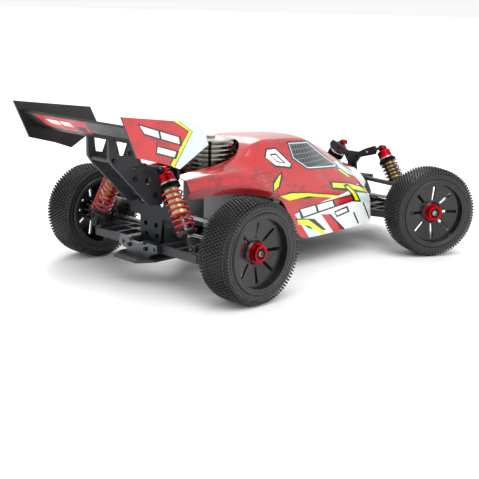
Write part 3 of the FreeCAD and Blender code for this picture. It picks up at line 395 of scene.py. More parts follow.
@dataclass(frozen=True)
class Field:
    """One flat colour field of a livery: a convex outline in millimetres.

    From the side the outline is in X and Z and the limits hold the distance from
    the middle plane; under the tail it is in Y and Z, on faces that look down.
    """

    colour: str
    outline: tuple[Point2, ...]
    low: float = 0.0
    high: float = 400.0
    net: float = 0.0
    view: View = View.SIDE

    def mask(self, tree: bpy.types.NodeTree, place: bpy.types.NodeSocket) -> bpy.types.NodeSocket:
        """Return a socket that is one inside the outline and zero outside.

        Args:
            tree: Shader tree.
            place: Position in millimetres.

        Returns:
            A value socket.
        """
        if self.view is View.SIDE:
            source, part, level, operation = place, "Y", self.low, "GREATER_THAN"
        else:
            source, part, level, operation = add(tree,
                                                 "ShaderNodeNewGeometry").outputs["True Normal"], "Z", -0.1, "LESS_THAN"
        value = add(tree, "ShaderNodeSeparateXYZ", {"Vector": source}).outputs[part]
        if self.view is View.SIDE:
            value = add(tree, "ShaderNodeMath", {0: value}, operation="ABSOLUTE").outputs[0]
        mask = add(tree, "ShaderNodeMath", {0: value, 1: level}, operation=operation).outputs[0]
        if self.high < 400.0:
            under = add(tree, "ShaderNodeMath", {0: value, 1: self.high}, operation="LESS_THAN").outputs[0]
            mask = add(tree, "ShaderNodeMath", {0: mask, 1: under}, operation="MULTIPLY").outputs[0]
        count = len(self.outline)
        steps = [(self.outline[i], self.outline[(i + 1) % count]) for i in range(count)]
        turn = math.copysign(1.0, sum(a[0] * b[1] - b[0] * a[1] for a, b in steps))
        for (u, v), (u_next, v_next) in steps:
            across, up = (v - v_next) * turn, (u_next - u) * turn
            normal = (across, 0.0, up) if self.view is View.SIDE else (0.0, across, up)
            along = add(tree, "ShaderNodeVectorMath", {0: place, 1: normal},
                        operation="DOT_PRODUCT").outputs["Value"]
            half = add(tree, "ShaderNodeMath", {0: along, 1: across * u + up * v},
                       operation="GREATER_THAN").outputs[0]
            mask = add(tree, "ShaderNodeMath", {0: mask, 1: half}, operation="MULTIPLY").outputs[0]
        return mask

    def tint(self, tree: bpy.types.NodeTree, place: bpy.types.NodeSocket) -> bpy.types.NodeSocket | tuple:
        """Return the field's colour, with a woven net of the given mesh size over it where it has one.

        Args:
            tree: Shader tree.
            place: Position in millimetres.

        Returns:
            Colour socket, or a plain colour.
        """
        if not self.net:
            return linear(self.colour)
        sides = add(tree, "ShaderNodeSeparateXYZ", {"Vector": place})
        thread = None
        for part in ("X", "Z"):
            share = add(tree, "ShaderNodeMath", {0: sides.outputs[part], 1: self.net},
                        operation="DIVIDE").outputs[0]
            share = add(tree, "ShaderNodeMath", {0: share}, operation="FRACT").outputs[0]
            line = add(tree, "ShaderNodeMath", {0: share, 1: 0.2}, operation="LESS_THAN").outputs[0]
            thread = line if thread is None else add(tree, "ShaderNodeMath", {0: thread, 1: line},
                                                     operation="MAXIMUM").outputs[0]
        return add(tree, "ShaderNodeMix", {0: thread, 6: linear(self.colour), 7: linear("#59636b")},
                   data_type="RGBA").outputs[2]


def laid(tree: bpy.types.NodeTree, place: bpy.types.NodeSocket, colour: bpy.types.NodeSocket,
         fields: Sequence[Field]) -> bpy.types.NodeSocket:
    """Lay colour fields over a base colour, each on top of the last.

    Args:
        tree: Shader tree.
        place: Position in millimetres.
        colour: Base colour.
        fields: Fields from the lowest to the uppermost.

    Returns:
        The finished colour socket.
    """
    for shape in fields:
        mask = shape.mask(tree, place)
        colour = add(tree, "ShaderNodeMix", {0: mask, 6: colour, 7: shape.tint(tree, place)},
                     data_type="RGBA").outputs[2]
    return colour


@dataclass(frozen=True)
class SprayedShell(Finish):
    """Gloss paint on thin sheet: a deep clear coat over a scale-like mottle and sharp masked colour fields."""

    base: str = "#bf0a17"
    deep: str = "#4c020a"
    scale: float = 8.0
    seam: float = 0.12
    mottle: float = 1.0
    fields: tuple[Field, ...] = ()

    def paint(self, tree: bpy.types.NodeTree, place: bpy.types.NodeSocket, skin: bpy.types.Node) -> None:
        """Fill the shader with the mottle, then lay each field over it in turn.

        Args:
            tree: Shader tree of the finish.
            place: Position on the piece in millimetres.
            skin: Principled shader to fill.
        """
        cells = add(tree, "ShaderNodeTexVoronoi",
                    {"Vector": place, "Scale": 1 / self.scale, "Randomness": 0.45})
        edge = add(tree, "ShaderNodeTexVoronoi",
                   {"Vector": place, "Scale": 1 / self.scale, "Randomness": 0.45}, feature="DISTANCE_TO_EDGE")
        tone = add(tree, "ShaderNodeSeparateColor", {"Color": cells.outputs["Color"]})
        drift = add(tree, "ShaderNodeTexNoise", {"Vector": place, "Scale": 1 / 30.0, "Detail": 1.0})
        seam = add(tree, "ShaderNodeMapRange",
                   {"Value": edge.outputs["Distance"], "From Min": 0.0, "From Max": self.seam, "To Min": 0.75,
                    "To Max": 0.0})
        lift = add(tree, "ShaderNodeMath", {0: tone.outputs["Red"], 1: 0.45}, operation="MULTIPLY")
        both = add(tree, "ShaderNodeMath", {0: seam.outputs["Result"], 1: lift.outputs[0]},
                   operation="MAXIMUM")
        patch = add(tree, "ShaderNodeMapRange",
                    {"Value": drift.outputs["Fac"], "From Min": 0.4, "From Max": 0.6, "To Min": 0.25,
                     "To Max": 1.0})
        amount = add(tree, "ShaderNodeMath", {0: both.outputs[0], 1: patch.outputs["Result"]},
                     operation="MULTIPLY")
        shade = add(tree, "ShaderNodeMath", {0: amount.outputs[0], 1: self.mottle}, operation="MULTIPLY")
        colour = add(tree, "ShaderNodeMix", {0: shade.outputs[0], 6: linear(self.base), 7: linear(self.deep)},
                     data_type="RGBA").outputs[2]
        tree.links.new(laid(tree, place, colour, self.fields), skin.inputs["Base Color"])
        skin.inputs["Roughness"].default_value = 0.32
        skin.inputs["Coat Weight"].default_value = 0.9
        skin.inputs["Coat Roughness"].default_value = 0.06
        peel = add(tree, "ShaderNodeTexNoise", {"Vector": place, "Scale": 1 / 5.0, "Detail": 1.0})
        bumped(tree, peel.outputs["Fac"], skin, 0.03)
        skin.inputs["IOR"].default_value = 1.5


@dataclass(frozen=True)
class StudioPaper(Finish):
    """Seamless backdrop paper: pale and even."""

    colour: str = "#fafafa"

    def paint(self, tree: bpy.types.NodeTree, place: bpy.types.NodeSocket, skin: bpy.types.Node) -> None:
        """Fill the shader with one pale colour and a faint tooth.

        Args:
            tree: Shader tree of the finish.
            place: Position on the piece in millimetres.
            skin: Principled shader to fill.
        """
        skin.inputs["Base Color"].default_value = linear(self.colour)
        skin.inputs["Roughness"].default_value = 0.55
        tooth = add(tree, "ShaderNodeTexNoise", {"Vector": place, "Scale": 1 / 2.0})
        bumped(tree, tooth.outputs["Fac"], skin, 0.02)


BLACK_NYLON = MouldedNylon("moulded black nylon")
GREY_NYLON = MouldedNylon("moulded graphite nylon", "#232427", "#3a3c40", 0.46)
RIM_NYLON = MouldedNylon("polished black rim nylon", "#0d0d0e", "#171718", 0.26)
RED_ALUMINIUM = AnodisedAluminium("red anodised aluminium")
GOLD_ALUMINIUM = AnodisedAluminium("champagne anodised aluminium", "#9a8461", "#cdb78f", 0.3)
TAN_ALUMINIUM = AnodisedAluminium("hard anodised shock body", "#85683f", "#b18d5c", 0.34)
GUNMETAL = AnodisedAluminium("grey anodised plate", "#4b4e53", "#777b81", 0.36)
DARK_PLATE = AnodisedAluminium("dark anodised plate", "#26282b", "#3d4044", 0.4)
# Black anodised parts. The same finish also colours the wheel nuts' black ring, which is painted shade for their
# sockets.
BLACK_ALUMINIUM_AND_SOCKET_SHADE = AnodisedAluminium("black anodised aluminium and painted socket shade", "#0f0f10", "#1d1d1f", 0.34)
BRIGHT_ALUMINIUM = TurnedAluminium("turned bright aluminium")
CAST_ALUMINIUM = AnodisedAluminium("bead-blasted cast aluminium", "#77797b", "#a3a5a6", 0.52)
STEEL = GroundSteel("ground steel")
OXIDE_STEEL = GroundSteel("black oxide steel", "#17181a", "#2e3033", 0.34)
RED_SPRING = MouldedNylon("red powder-coated spring wire", "#a30c17", "#d0141f", 0.3)
DARK_SPRING = MouldedNylon("dark powder-coated spring wire", "#1d1e20", "#34363a", 0.3)
RUBBER = TyreRubber("off-road tyre rubber")
SIDEWALL = TyreRubber("smooth sidewall rubber", "#0d0e0e", "#191a1b", 0.4)
BOOT_RUBBER = TyreRubber("soft boot rubber", "#141415", "#202021", 0.6)
FOAM = OpenFoam("oiled filter foam")
TANK_PLASTIC = BlownPolyethylene("blown tank polyethylene")


# ----------------------------------------------------------------- mesh makers


def build(name: str, points: Sequence[Sequence[float]], faces: Sequence[Sequence[int]],
          finishes: Sequence[Finish],
          place: Matrix | None = None, angle: float = 35.0, tell: Callable[[Vector],
                                                                           int] | None = None) -> bpy.types.Object:
    """Make a mesh object at the origin from points in millimetres.

    Args:
        name: Object name.
        points: Corners in millimetres in the piece's own frame.
        faces: Corner indices of each face.
        finishes: Finishes of the material slots.
        place: Matrix from the piece's own frame to the assembly's, in millimetres.
        angle: Edges sharper than this many degrees stay sharp.
        tell: Gives a face's material slot from its centre in the piece's own frame.

    Returns:
        The object, linked to the scene.
    """
    mesh = bpy.data.meshes.new(name)
    mesh.from_pydata([Vector(p) for p in points], [], faces)
    if tell is not None:
        for polygon in mesh.polygons:
            polygon.material_index = tell(polygon.center)
    work = bmesh.new()
    work.from_mesh(mesh)
    bmesh.ops.remove_doubles(work, verts=work.verts, dist=1e-4)
    bmesh.ops.recalc_face_normals(work, faces=work.faces)
    work.to_mesh(mesh)
    work.free()
    move = Matrix.Scale(MM, 4) @ (place or Matrix.Identity(4))
    mesh.transform(move)
    for finish in finishes:
        mesh.materials.append(finish.material())
    mesh.shade_smooth()
    mesh.set_sharp_from_angle(angle=math.radians(angle))
    obj = bpy.data.objects.new(name, mesh)
    bpy.context.scene.collection.objects.link(obj)
    return obj


def spun(profile: Sequence[Point2], segments: int = 48, closed: bool = True) -> tuple[list[Point3],
                                                                                      list[tuple[int, ...]]]:
    """Turn a profile of (radius, height) about Z.

    Args:
        profile: Points of the half section.
        segments: Steps round the axis.
        closed: Whether the last point joins the first.

    Returns:
        Corners and faces.
    """
    points = [(r * math.cos(t), r * math.sin(t), h)
              for t in (2 * math.pi * k / segments for k in range(segments)) for r, h in profile]
    count = len(profile)
    faces = []
    for k in range(segments):
        for i in range(count if closed else count - 1):
            a, b = k * count + i, k * count + (i + 1) % count
            c, d = ((k + 1) % segments) * count + (i + 1) % count, ((k + 1) % segments) * count + i
            faces.append((a, b, c, d))
    return points, faces


def lathe(name: str, profile: Sequence[Point2], finish: Finish, place: Matrix, segments: int = 48,
          angle: float = 35.0) -> bpy.types.Object:
    """Make a turned piece from a closed half section."""
    points, faces = spun(profile, segments)
    return build(name, points, faces, [finish], place, angle)


def pose(origin: Sequence[float], axis: Sequence[float], side: Sequence[float] = (1, 0, 0)) -> Matrix:
    """Return the matrix whose Z runs along axis from origin; X stays near side.

    Args:
        origin: Place of the frame in millimetres.
        axis: Way that its Z runs.
        side: Way that its X stays near.

    Returns:
        The matrix.
    """
    z = Vector(axis).normalized()
    x = (Vector(side) - z * z.dot(Vector(side))).normalized()
    y = z.cross(x)
    return Matrix.Translation(Vector(origin)) @ Matrix((x, y, z)).transposed().to_4x4()


def plain(holder: bpy.types.Object, finish: Finish | None = None) -> bpy.types.Object:
    """Swap an object with live modifiers for one with the plain evaluated mesh.

    Args:
        holder: Object with live modifiers; it is removed.
        finish: Finish that replaces the ones it has, if any.

    Returns:
        The object that holds the plain mesh.
    """
    bpy.context.view_layer.update()
    seen = holder.evaluated_get(bpy.context.evaluated_depsgraph_get())
    mesh = bpy.data.meshes.new_from_object(seen)
    name = holder.name
    bpy.data.objects.remove(holder)
    if finish is not None:
        mesh.materials.clear()
        mesh.materials.append(finish.material())
    mesh.shade_smooth()
    mesh.set_sharp_from_angle(angle=math.radians(35))
    obj = bpy.data.objects.new(name, mesh)
    bpy.context.scene.collection.objects.link(obj)
    return obj


# -------------------------------------------------------------- geometry nodes


@dataclass
class Grower:
    """A geometry node tree with named inputs that is run once on an empty mesh and kept as a plain mesh."""

    name: str
    tree: bpy.types.NodeTree = field(init=False)
    feed: bpy.types.Node = field(init=False)
    sink: bpy.types.Node = field(init=False)

    def __post_init__(self) -> None:
        """Start the tree with a geometry input and output."""
        self.tree = bpy.data.node_groups.new(self.name, "GeometryNodeTree")
        self.tree.interface.new_socket("Geometry", in_out="INPUT", socket_type="NodeSocketGeometry")
        self.tree.interface.new_socket("Geometry", in_out="OUTPUT", socket_type="NodeSocketGeometry")
        self.feed = self.tree.nodes.new("NodeGroupInput")
        self.sink = self.tree.nodes.new("NodeGroupOutput")

    def number(self, name: str, value: float, whole: bool = False) -> bpy.types.NodeSocket:
        """Add a named size to the tree and return its socket.

        Args:
            name: Name of the size.
            value: Its value unless the piece sets one.
            whole: Whether it is a whole number.

        Returns:
            Socket that gives the size.
        """
        socket = self.tree.interface.new_socket(name, in_out="INPUT",
                                                socket_type="NodeSocketInt" if whole else "NodeSocketFloat")
        socket.default_value = value
        return self.feed.outputs[name]

    def add(self, kind: str, inputs: dict | None = None, **settings: object) -> bpy.types.Node:
        """Add a node to the tree."""
        return add(self.tree, kind, inputs, **settings)

    def maths(self, operation: str, a: object, b: object = 0.0) -> bpy.types.NodeSocket:
        """Add a maths node and return its value."""
        return self.add("ShaderNodeMath", {0: a, 1: b}, operation=operation).outputs[0]

    def finish(self, instances: bpy.types.NodeSocket, finish: Finish) -> None:
        """End the tree with real geometry and its material.

        Args:
            instances: Instances to make real.
            finish: Finish of every face.
        """
        real = self.add("GeometryNodeRealizeInstances", {"Geometry": instances})
        dressed = self.add("GeometryNodeSetMaterial",
                           {"Geometry": real.outputs["Geometry"], "Material": finish.material()})
        self.tree.links.new(dressed.outputs["Geometry"], self.sink.inputs["Geometry"])

    def grow(self, name: str, place: Matrix, values: dict[str, float] | None = None,
             seeds: Sequence[Point3] = ((0, 0, 0),)) -> bpy.types.Object:
        """Run the tree and return the result as a plain mesh at the origin.

        Args:
            name: Name of the new object.
            place: Matrix from the tree's frame to the assembly's, in millimetres.
            values: Named sizes that differ from the tree's own.
            seeds: Points of the mesh that the tree starts from.

        Returns:
            The object.
        """
        mesh = bpy.data.meshes.new(name)
        mesh.from_pydata([Vector(p) for p in seeds], [], [])
        holder = bpy.data.objects.new(name, mesh)
        bpy.context.scene.collection.objects.link(holder)
        modifier = holder.modifiers.new("grow", "NODES")
        modifier.node_group = self.tree
        for item in self.tree.interface.items_tree:
            if item.in_out == "INPUT" and item.name in (values or {}):
                modifier[item.identifier] = values[item.name]
        bpy.context.view_layer.update()
        made = bpy.data.meshes.new_from_object(holder.evaluated_get(bpy.context.evaluated_depsgraph_get()))
        holder.modifiers.clear()
        bpy.data.objects.remove(holder)
        made.transform(Matrix.Scale(MM, 4) @ place)
        made.shade_smooth()
        made.set_sharp_from_angle(angle=math.radians(35))
        obj = bpy.data.objects.new(name, made)
        bpy.context.scene.collection.objects.link(obj)
        return obj


# --------------------------------------------------------------- sub-assemblies

REAR_X, FRONT_X, AXLE_Z = -137.0, 201.0, 56.0
STEER = math.radians(26.6)
KINGPIN = (201.0, 112.0, 24.75)


def report(name: str, obj: bpy.types.Object) -> bpy.types.Object:
    """Log a finished piece with its face count."""
    LOG.info("%s: %s, %d faces", name, obj.name, len(obj.data.polygons))
    return obj


@dataclass
class Wheel:
    """One corner's tyre and hub nut, drawn about the axle with Z outwards."""

    end: End
    side: Side
    radius: float = 56.0
    half_width: float = 21.25
    bead: float = 38.7
    pin_height: float = 2.6
    rows: int = 88
    columns: int = 11

    @property
    def tag(self) -> str:
        """Return the corner's part of a node name."""
        return f"{self.end.value}_{self.side.label}"

    def place(self) -> Matrix:
        """Return the matrix from the axle frame to the assembly.

        Returns:
            The matrix.
        """
        s = self.side.sign
        if self.end is End.REAR:
            return pose((REAR_X, s * 135.25, AXLE_Z), (0, s, 0))
        x, y, reach = KINGPIN
        outward = Vector((math.sin(STEER) * s, math.cos(STEER) * s, 0))
        return pose(Vector((x, s * y, AXLE_Z)) + outward * reach, outward)

    def carcass(self) -> bpy.types.Object:
        """Build the tyre's body: crown below the pins, ringed sidewalls and beads.

        Returns:
            The tyre body.
        """
        crown = self.radius - self.pin_height
        edge = self.half_width - 1.2
        bulge = [(self.bead + 2.6 - 2.4 * math.cos(t), edge - 1.2 + 2.3 * math.sin(t))
                 for t in (math.pi * k / 8 for k in range(9))]
        half = [(self.bead, edge - 2.0), *bulge, (self.bead + 5.5, edge - 0.6), (crown - 6.6, edge - 0.2),
                (crown - 6.2, edge - 0.8),
                (crown - 3.6, edge - 0.8), (crown - 1.2, edge - 2.4), (crown - 0.3, edge - 5.5), (crown, 6.0)]
        profile = half + [(r, -w) for r, w in reversed(half)]
        return lathe(f"tyre_carcass_{self.tag}", profile, SIDEWALL, self.place(), 96, 28.0)

    def pins(self, grower: Grower) -> bpy.types.Object:
        """Grow the tread pins over the crown and the shoulders."""
        return grower.grow(f"tyre_pins_{self.tag}", self.place())

    def nut(self, knurl: Grower) -> list[bpy.types.Object]:
        """Build a thin black hexagon ring on the red wheel nut's face, which is painted shade for its socket, and the
        knurled flange.

        Args:
            knurl: Tree that grows the knurl.

        Returns:
            The pieces of the nut.
        """
        # The black ring is painted shade: a flat dark sheet laid where the nut's hexagon socket is shaded.
        points, faces = spun([(4.2, 17.0), (4.2, 17.25), (6.6, 17.25), (6.6, 17.0)], 6)
        socket = build(f"nut_socket_{self.tag}", points, faces, [BLACK_ALUMINIUM_AND_SOCKET_SHADE], self.place(), 20.0)
        return [socket, knurl.grow(f"nut_knurl_{self.tag}", self.place())]

    def make(self, tread: Grower, knurl: Grower) -> None:
        """Build the corner's rolling pieces and let them turn with the wheel.

        Args:
            tread: Tree that grows the pins.
            knurl: Tree that grows the nut's knurl.
        """
        for piece in (self.carcass(), self.pins(tread)):
            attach(piece, f"wheel_{self.tag}")
            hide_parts(f"tyre_{self.tag}")
            report("tyre", piece)
        for piece in self.nut(knurl):
            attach(piece, f"wheel_{self.tag}")
            report("wheel nut", piece)


def tread_grower(wheel: Wheel) -> Grower:
    """Build the tree that sets staggered square pins round a tyre.

    Args:
        wheel: Gives the sizes of the tread.

    Returns:
        The tree, ready to grow.
    """
    g = Grower("tyre tread")
    rows = g.number("Rows", wheel.rows, True)
    columns = g.number("Columns", wheel.columns, True)
    radius = g.number("Radius", wheel.radius)
    height = g.number("Pin height", wheel.pin_height)
    half = g.number("Half width", wheel.half_width - 1.6)
    points = g.add("GeometryNodePoints", {"Count": g.maths("MULTIPLY", rows, columns)})
    index = g.add("GeometryNodeInputIndex").outputs[0]
    row = g.maths("FLOOR", g.maths("DIVIDE", index, columns))
    column = g.maths("SUBTRACT", index, g.maths("MULTIPLY", row, columns))
    stagger = g.maths("MULTIPLY", g.maths("MODULO", column, 2.0), 0.5)
    angle = g.maths("MULTIPLY", g.maths("DIVIDE", g.maths("ADD", row, stagger), rows), 2 * math.pi)
    share = g.maths("SUBTRACT",
                    g.maths("DIVIDE", g.maths("MULTIPLY", column, 2.0),
                            g.maths("SUBTRACT", columns, 1.0)), 1.0)
    across = g.maths("MULTIPLY", share, half)
    bend = g.maths("POWER", g.maths("ABSOLUTE", share), 6.0)
    low = g.maths("SUBTRACT", g.maths("SUBTRACT", radius, height), g.maths("MULTIPLY", bend, 2.4))
    spot = g.add("ShaderNodeCombineXYZ", {0: g.maths("MULTIPLY", low, g.maths("COSINE", angle)),
                                          1: g.maths("MULTIPLY", low, g.maths("SINE", angle)), 2: across})
    placed = g.add("GeometryNodeSetPosition", {"Geometry": points.outputs[0], "Position": spot.outputs[0]})
    pin = g.add("GeometryNodeMeshCone",
                {"Vertices": 4, "Radius Top": 1.05, "Radius Bottom": 1.5, "Depth": height})
    lean = g.maths("SUBTRACT", math.pi / 2, g.maths("MULTIPLY", g.maths("MULTIPLY", share, bend), 0.55))
    turn = g.add("ShaderNodeCombineXYZ", {1: lean, 2: angle})
    quarter = g.add("GeometryNodeTransform",
                    {"Geometry": pin.outputs["Mesh"], "Rotation": (0.0, 0.0, math.pi / 4)})
    many = g.add("GeometryNodeInstanceOnPoints",
                 {"Points": placed.outputs[0], "Instance": quarter.outputs[0], "Rotation": turn.outputs[0]})
    g.finish(many.outputs["Instances"], RUBBER)
    return g


def rib_grower(name: str, count: int, radius: float, low: float, high: float, width: float,
               finish: Finish) -> Grower:
    """Build the tree that stands small ribs on a ring about Z, as on a knurled nut.

    Args:
        name: Name of the tree.
        count: Ribs round the ring.
        radius: Radius of the ring.
        low: Height of the ribs' lower end.
        high: Height of their upper end.
        width: Width of a rib.
        finish: Finish of the ribs.

    Returns:
        The tree, ready to grow.
    """
    g = Grower(name)
    total = g.number("Ribs", count, True)
    reach = g.number("Radius", radius)
    size = g.number("Rib width", width)
    points = g.add("GeometryNodePoints", {"Count": total})
    index = g.add("GeometryNodeInputIndex").outputs[0]
    angle = g.maths("MULTIPLY", g.maths("DIVIDE", index, total), 2 * math.pi)
    spot = g.add("ShaderNodeCombineXYZ", {0: g.maths("MULTIPLY", reach, g.maths("COSINE", angle)),
                                          1: g.maths("MULTIPLY", reach,
                                                     g.maths("SINE", angle)), 2: (low + high) / 2})
    placed = g.add("GeometryNodeSetPosition", {"Geometry": points.outputs[0], "Position": spot.outputs[0]})
    extent = g.add("ShaderNodeCombineXYZ", {0: size, 1: size, 2: high - low})
    rib = g.add("GeometryNodeMeshCube", {"Size": extent.outputs[0]})
    turn = g.add("ShaderNodeCombineXYZ", {2: g.maths("ADD", angle, math.pi / 4)})
    many = g.add("GeometryNodeInstanceOnPoints",
                 {"Points": placed.outputs[0], "Instance": rib.outputs["Mesh"], "Rotation": turn.outputs[0]})
    g.finish(many.outputs["Instances"], finish)
    return g


def screw_grower(name: str, sides: int, radius: float, height: float, lift: float, finish: Finish) -> Grower:
    """Build the tree that stands a flat prism on each seed point, as a screw head, a nut or its socket.

    Args:
        name: Name of the tree.
        sides: Sides of the prism: 6 for a hexagon, more for a round head.
        radius: Radius over the corners.
        height: Height of the prism.
        lift: Height of its middle over the seed.
        finish: Finish of the prism.

    Returns:
        The tree, ready to grow.
    """
    g = Grower(name)
    reach = g.number("Radius", radius)
    tall = g.number("Height", height)
    foot = g.add("GeometryNodeMeshCone",
                 {"Vertices": sides, "Radius Top": reach, "Radius Bottom": reach,
                  "Depth": g.maths("MULTIPLY", tall, 0.7)})
    crown = g.add("GeometryNodeMeshCone",
                  {"Vertices": sides, "Radius Top": g.maths("MULTIPLY", reach, 0.82), "Radius Bottom": reach,
                                           "Depth": g.maths("MULTIPLY", tall, 0.3)})
    above = g.add("ShaderNodeCombineXYZ", {2: g.maths("MULTIPLY", tall, 0.7)})
    raised = g.add("GeometryNodeTransform",
                   {"Geometry": crown.outputs["Mesh"], "Translation": above.outputs[0]})
    joined = g.add("GeometryNodeJoinGeometry", {"Geometry": raised.outputs[0]})
    g.tree.links.new(foot.outputs["Mesh"], joined.inputs[0])
    shifted = g.add("GeometryNodeTransform", {"Geometry": joined.outputs[0], "Translation": (0.0, 0.0, lift)})
    seeds = g.add("GeometryNodeMeshToPoints", {"Mesh": g.feed.outputs["Geometry"]})
    many = g.add("GeometryNodeInstanceOnPoints", {"Points": seeds.outputs[0], "Instance": shifted.outputs[0]})
    g.finish(many.outputs["Instances"], finish)
    return g


def coil_grower(name: str, finish: Finish) -> Grower:
    """Build the tree that winds a spring downwards from its top seat.

    Args:
        name: Name of the tree.
        finish: Finish of the wire.

    Returns:
        The tree, ready to grow.
    """
    g = Grower(name)
    turns = g.number("Turns", 7.5)
    height = g.number("Height", 48.0)
    radius = g.number("Radius", 10.5)
    wire = g.number("Wire radius", 1.0)
    spiral = g.add("GeometryNodeCurveSpiral",
                   {"Resolution": 28, "Rotations": turns, "Start Radius": radius, "End Radius": radius,
                    "Height": height})
    section = g.add("GeometryNodeCurvePrimitiveCircle", {"Resolution": 10, "Radius": wire})
    swept = g.add("GeometryNodeCurveToMesh",
                  {"Curve": spiral.outputs[0], "Profile Curve": section.outputs[0], "Fill Caps": True})
    g.finish(swept.outputs[0], finish)
    return g


@dataclass
class Shock:
    """One coil-over shock absorber, drawn from its top pivot with Z downwards."""

    end: End
    side: Side
    barrel_finish: Finish
    foot: float = 19.5

    @property
    def tag(self) -> str:
        """Return the corner's part of a node name."""
        return f"{self.end.value}_{self.side.label}"

    @property
    def top(self) -> Vector:
        """Return the top pivot."""
        s = self.side.sign
        return Vector((-171, s * 36.5, 131)) if self.end is End.REAR else Vector((218, s * 34, 122))

    @property
    def low(self) -> Vector:
        """Return the lower pivot."""
        s = self.side.sign
        return Vector((-171, s * 86, 54)) if self.end is End.REAR else Vector((218, s * 80, 54))

    @property
    def barrel_end(self) -> float:
        """Return where the barrel ends, from the top pivot."""
        return 54.0 if self.end is End.REAR else 49.0

    def place(self) -> Matrix:
        """Return the matrix from the shock's frame to the assembly."""
        return pose(self.top, self.low - self.top)

    def upper(self, knurl: Grower) -> list[bpy.types.Object]:
        """Build the eye, the red cap, the silver ring, the black collar and the barrel.

        Args:
            knurl: Tree that grows the collar's knurl.

        Returns:
            The pieces that stay with the barrel.
        """
        place, tag = self.place(), self.tag
        across = place @ Matrix.Rotation(math.radians(90), 4, "Y")
        eye = lathe(f"shock_eye_{tag}",
                    [(2.1, -3.2), (3.9, -3.2), (4.5, -2.4), (4.5, 2.4), (3.9, 3.2),
                     (2.1, 3.2)], RED_ALUMINIUM, across, 32)
        bush = lathe(f"shock_bush_{tag}", [(1.6, -3.6), (2.9, -3.6), (2.9, 3.6), (1.6, 3.6)], BLACK_NYLON,
                     across, 24)
        cap = lathe(f"shock_cap_{tag}",
                    [(0, 3.0), (4.4, 3.0), (6.0, 4.2), (8.2, 4.6), (9.0, 5.6), (9.0, 8.2), (8.5, 8.8),
                     (8.5, 9.6),
                                         (9.0, 10.2), (9.0, 14.0), (0, 14.0)], RED_ALUMINIUM, place, 48, 25.0)
        seat = lathe(f"shock_ring_{tag}",
                     [(8.0, 14.0), (9.0, 14.0), (9.5, 14.5), (9.5, 15.9), (9.0, 16.4),
                      (8.0, 16.4)], BRIGHT_ALUMINIUM, place, 48)
        collar = lathe(f"shock_collar_{tag}",
                       [(8.0, 16.8), (10.4, 16.8), (10.9, 17.3), (10.9, 20.4), (11.5, 20.8), (11.5, 22.0),
                        (8.0, 22.0)],
                       BLACK_ALUMINIUM_AND_SOCKET_SHADE, place, 48, 25.0)
        ribs = knurl.grow(f"shock_knurl_{tag}", place)
        barrel = [(0, 14.2)]
        step = 2.4
        for k in range(int((self.barrel_end - 24) / step)):
            s = 16.0 + k * step
            barrel += [(7.9, s), (7.9, s + step - 0.7), (7.55, s + step - 0.45), (7.55, s + step - 0.2)]
        barrel += [(8.0, self.barrel_end - 7.5), (8.6, self.barrel_end - 7.0), (8.6, self.barrel_end - 1.0),
                   (7.6, self.barrel_end), (0, self.barrel_end)]
        body = lathe(f"shock_barrel_{tag}", barrel, self.barrel_finish, place, 48, 25.0)
        return [eye, bush, cap, seat, collar, ribs, body]

    def lower(self) -> list[bpy.types.Object]:
        """Build the rod, the spring cup, the rubber boot and the ball end.

        Returns:
            The pieces that move with the rod.
        """
        place, tag = self.place(), self.tag
        length = (self.low - self.top).length
        across = place @ Matrix.Translation((0, 0, length)) @ Matrix.Rotation(math.radians(90), 4, "Y")
        foot = length - self.foot
        rod = lathe(f"shock_rod_bright_{tag}",
                    [(0, self.barrel_end - 12), (1.7, self.barrel_end - 12), (1.7, length - 8),
                     (0, length - 8)], STEEL, place, 24)
        cup = lathe(f"spring_cup_{tag}",
                    [(1.75, foot + 3.0), (9.0, foot + 3.0), (11.5, foot + 1.2), (11.5, foot),
                     (9.3, foot - 0.9), (1.75, foot - 0.9)],
                    BLACK_NYLON, place, 48)
        boot = [(1.75, length - 13.0)]
        for k in range(4):
            s = length - 13.0 + 2.2 * k
            boot += [(2.6, s), (3.5, s + 0.7), (3.5, s + 1.3), (2.6, s + 2.0)]
        boot += [(3.2, length - 3.6), (0, length - 3.6)]
        sleeve = lathe(f"shock_boot_{tag}", boot, BOOT_RUBBER, place, 28)
        eye = lathe(f"shock_foot_{tag}",
                    [(3.0, -3.2), (4.3, -3.2), (5.0, -2.2), (5.0, 2.2), (4.3, 3.2),
                     (3.0, 3.2)], BLACK_NYLON, across, 32)
        return [rod, cup, sleeve, eye]

    def make(self, coil: Grower, knurl: Grower) -> None:
        """Build the shock; the coil is wound once, at its present length, between its barrel and its spring cup.

        Args:
            coil: Tree that winds the spring.
            knurl: Tree that grows the collar's knurl.
        """
        for piece in self.upper(knurl):
            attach(piece, f"shock_body_{self.tag}")
            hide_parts(f"shock_body_{self.tag}")
            report("shock", piece)
        for piece in self.lower():
            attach(piece, f"shock_rod_{self.tag}")
            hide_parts(f"shock_rod_{self.tag}")
            report("shock", piece)
        length = (self.low - self.top).length
        run = length - self.foot - 22.0 - 3.0
        place = self.place()
        spring = coil.grow(f"coil_{self.tag}", place @ Matrix.Translation((0, 0, 23.2)), {"Height": run})
        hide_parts(f"spring_{self.tag}")
        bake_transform(spring)
        report("spring", spring)


WHITE, ICE, LIME, INK, RED = "#f2f5f5", "#cfe3e8", "#dbe60a", "#09090a", "#c40c1a"

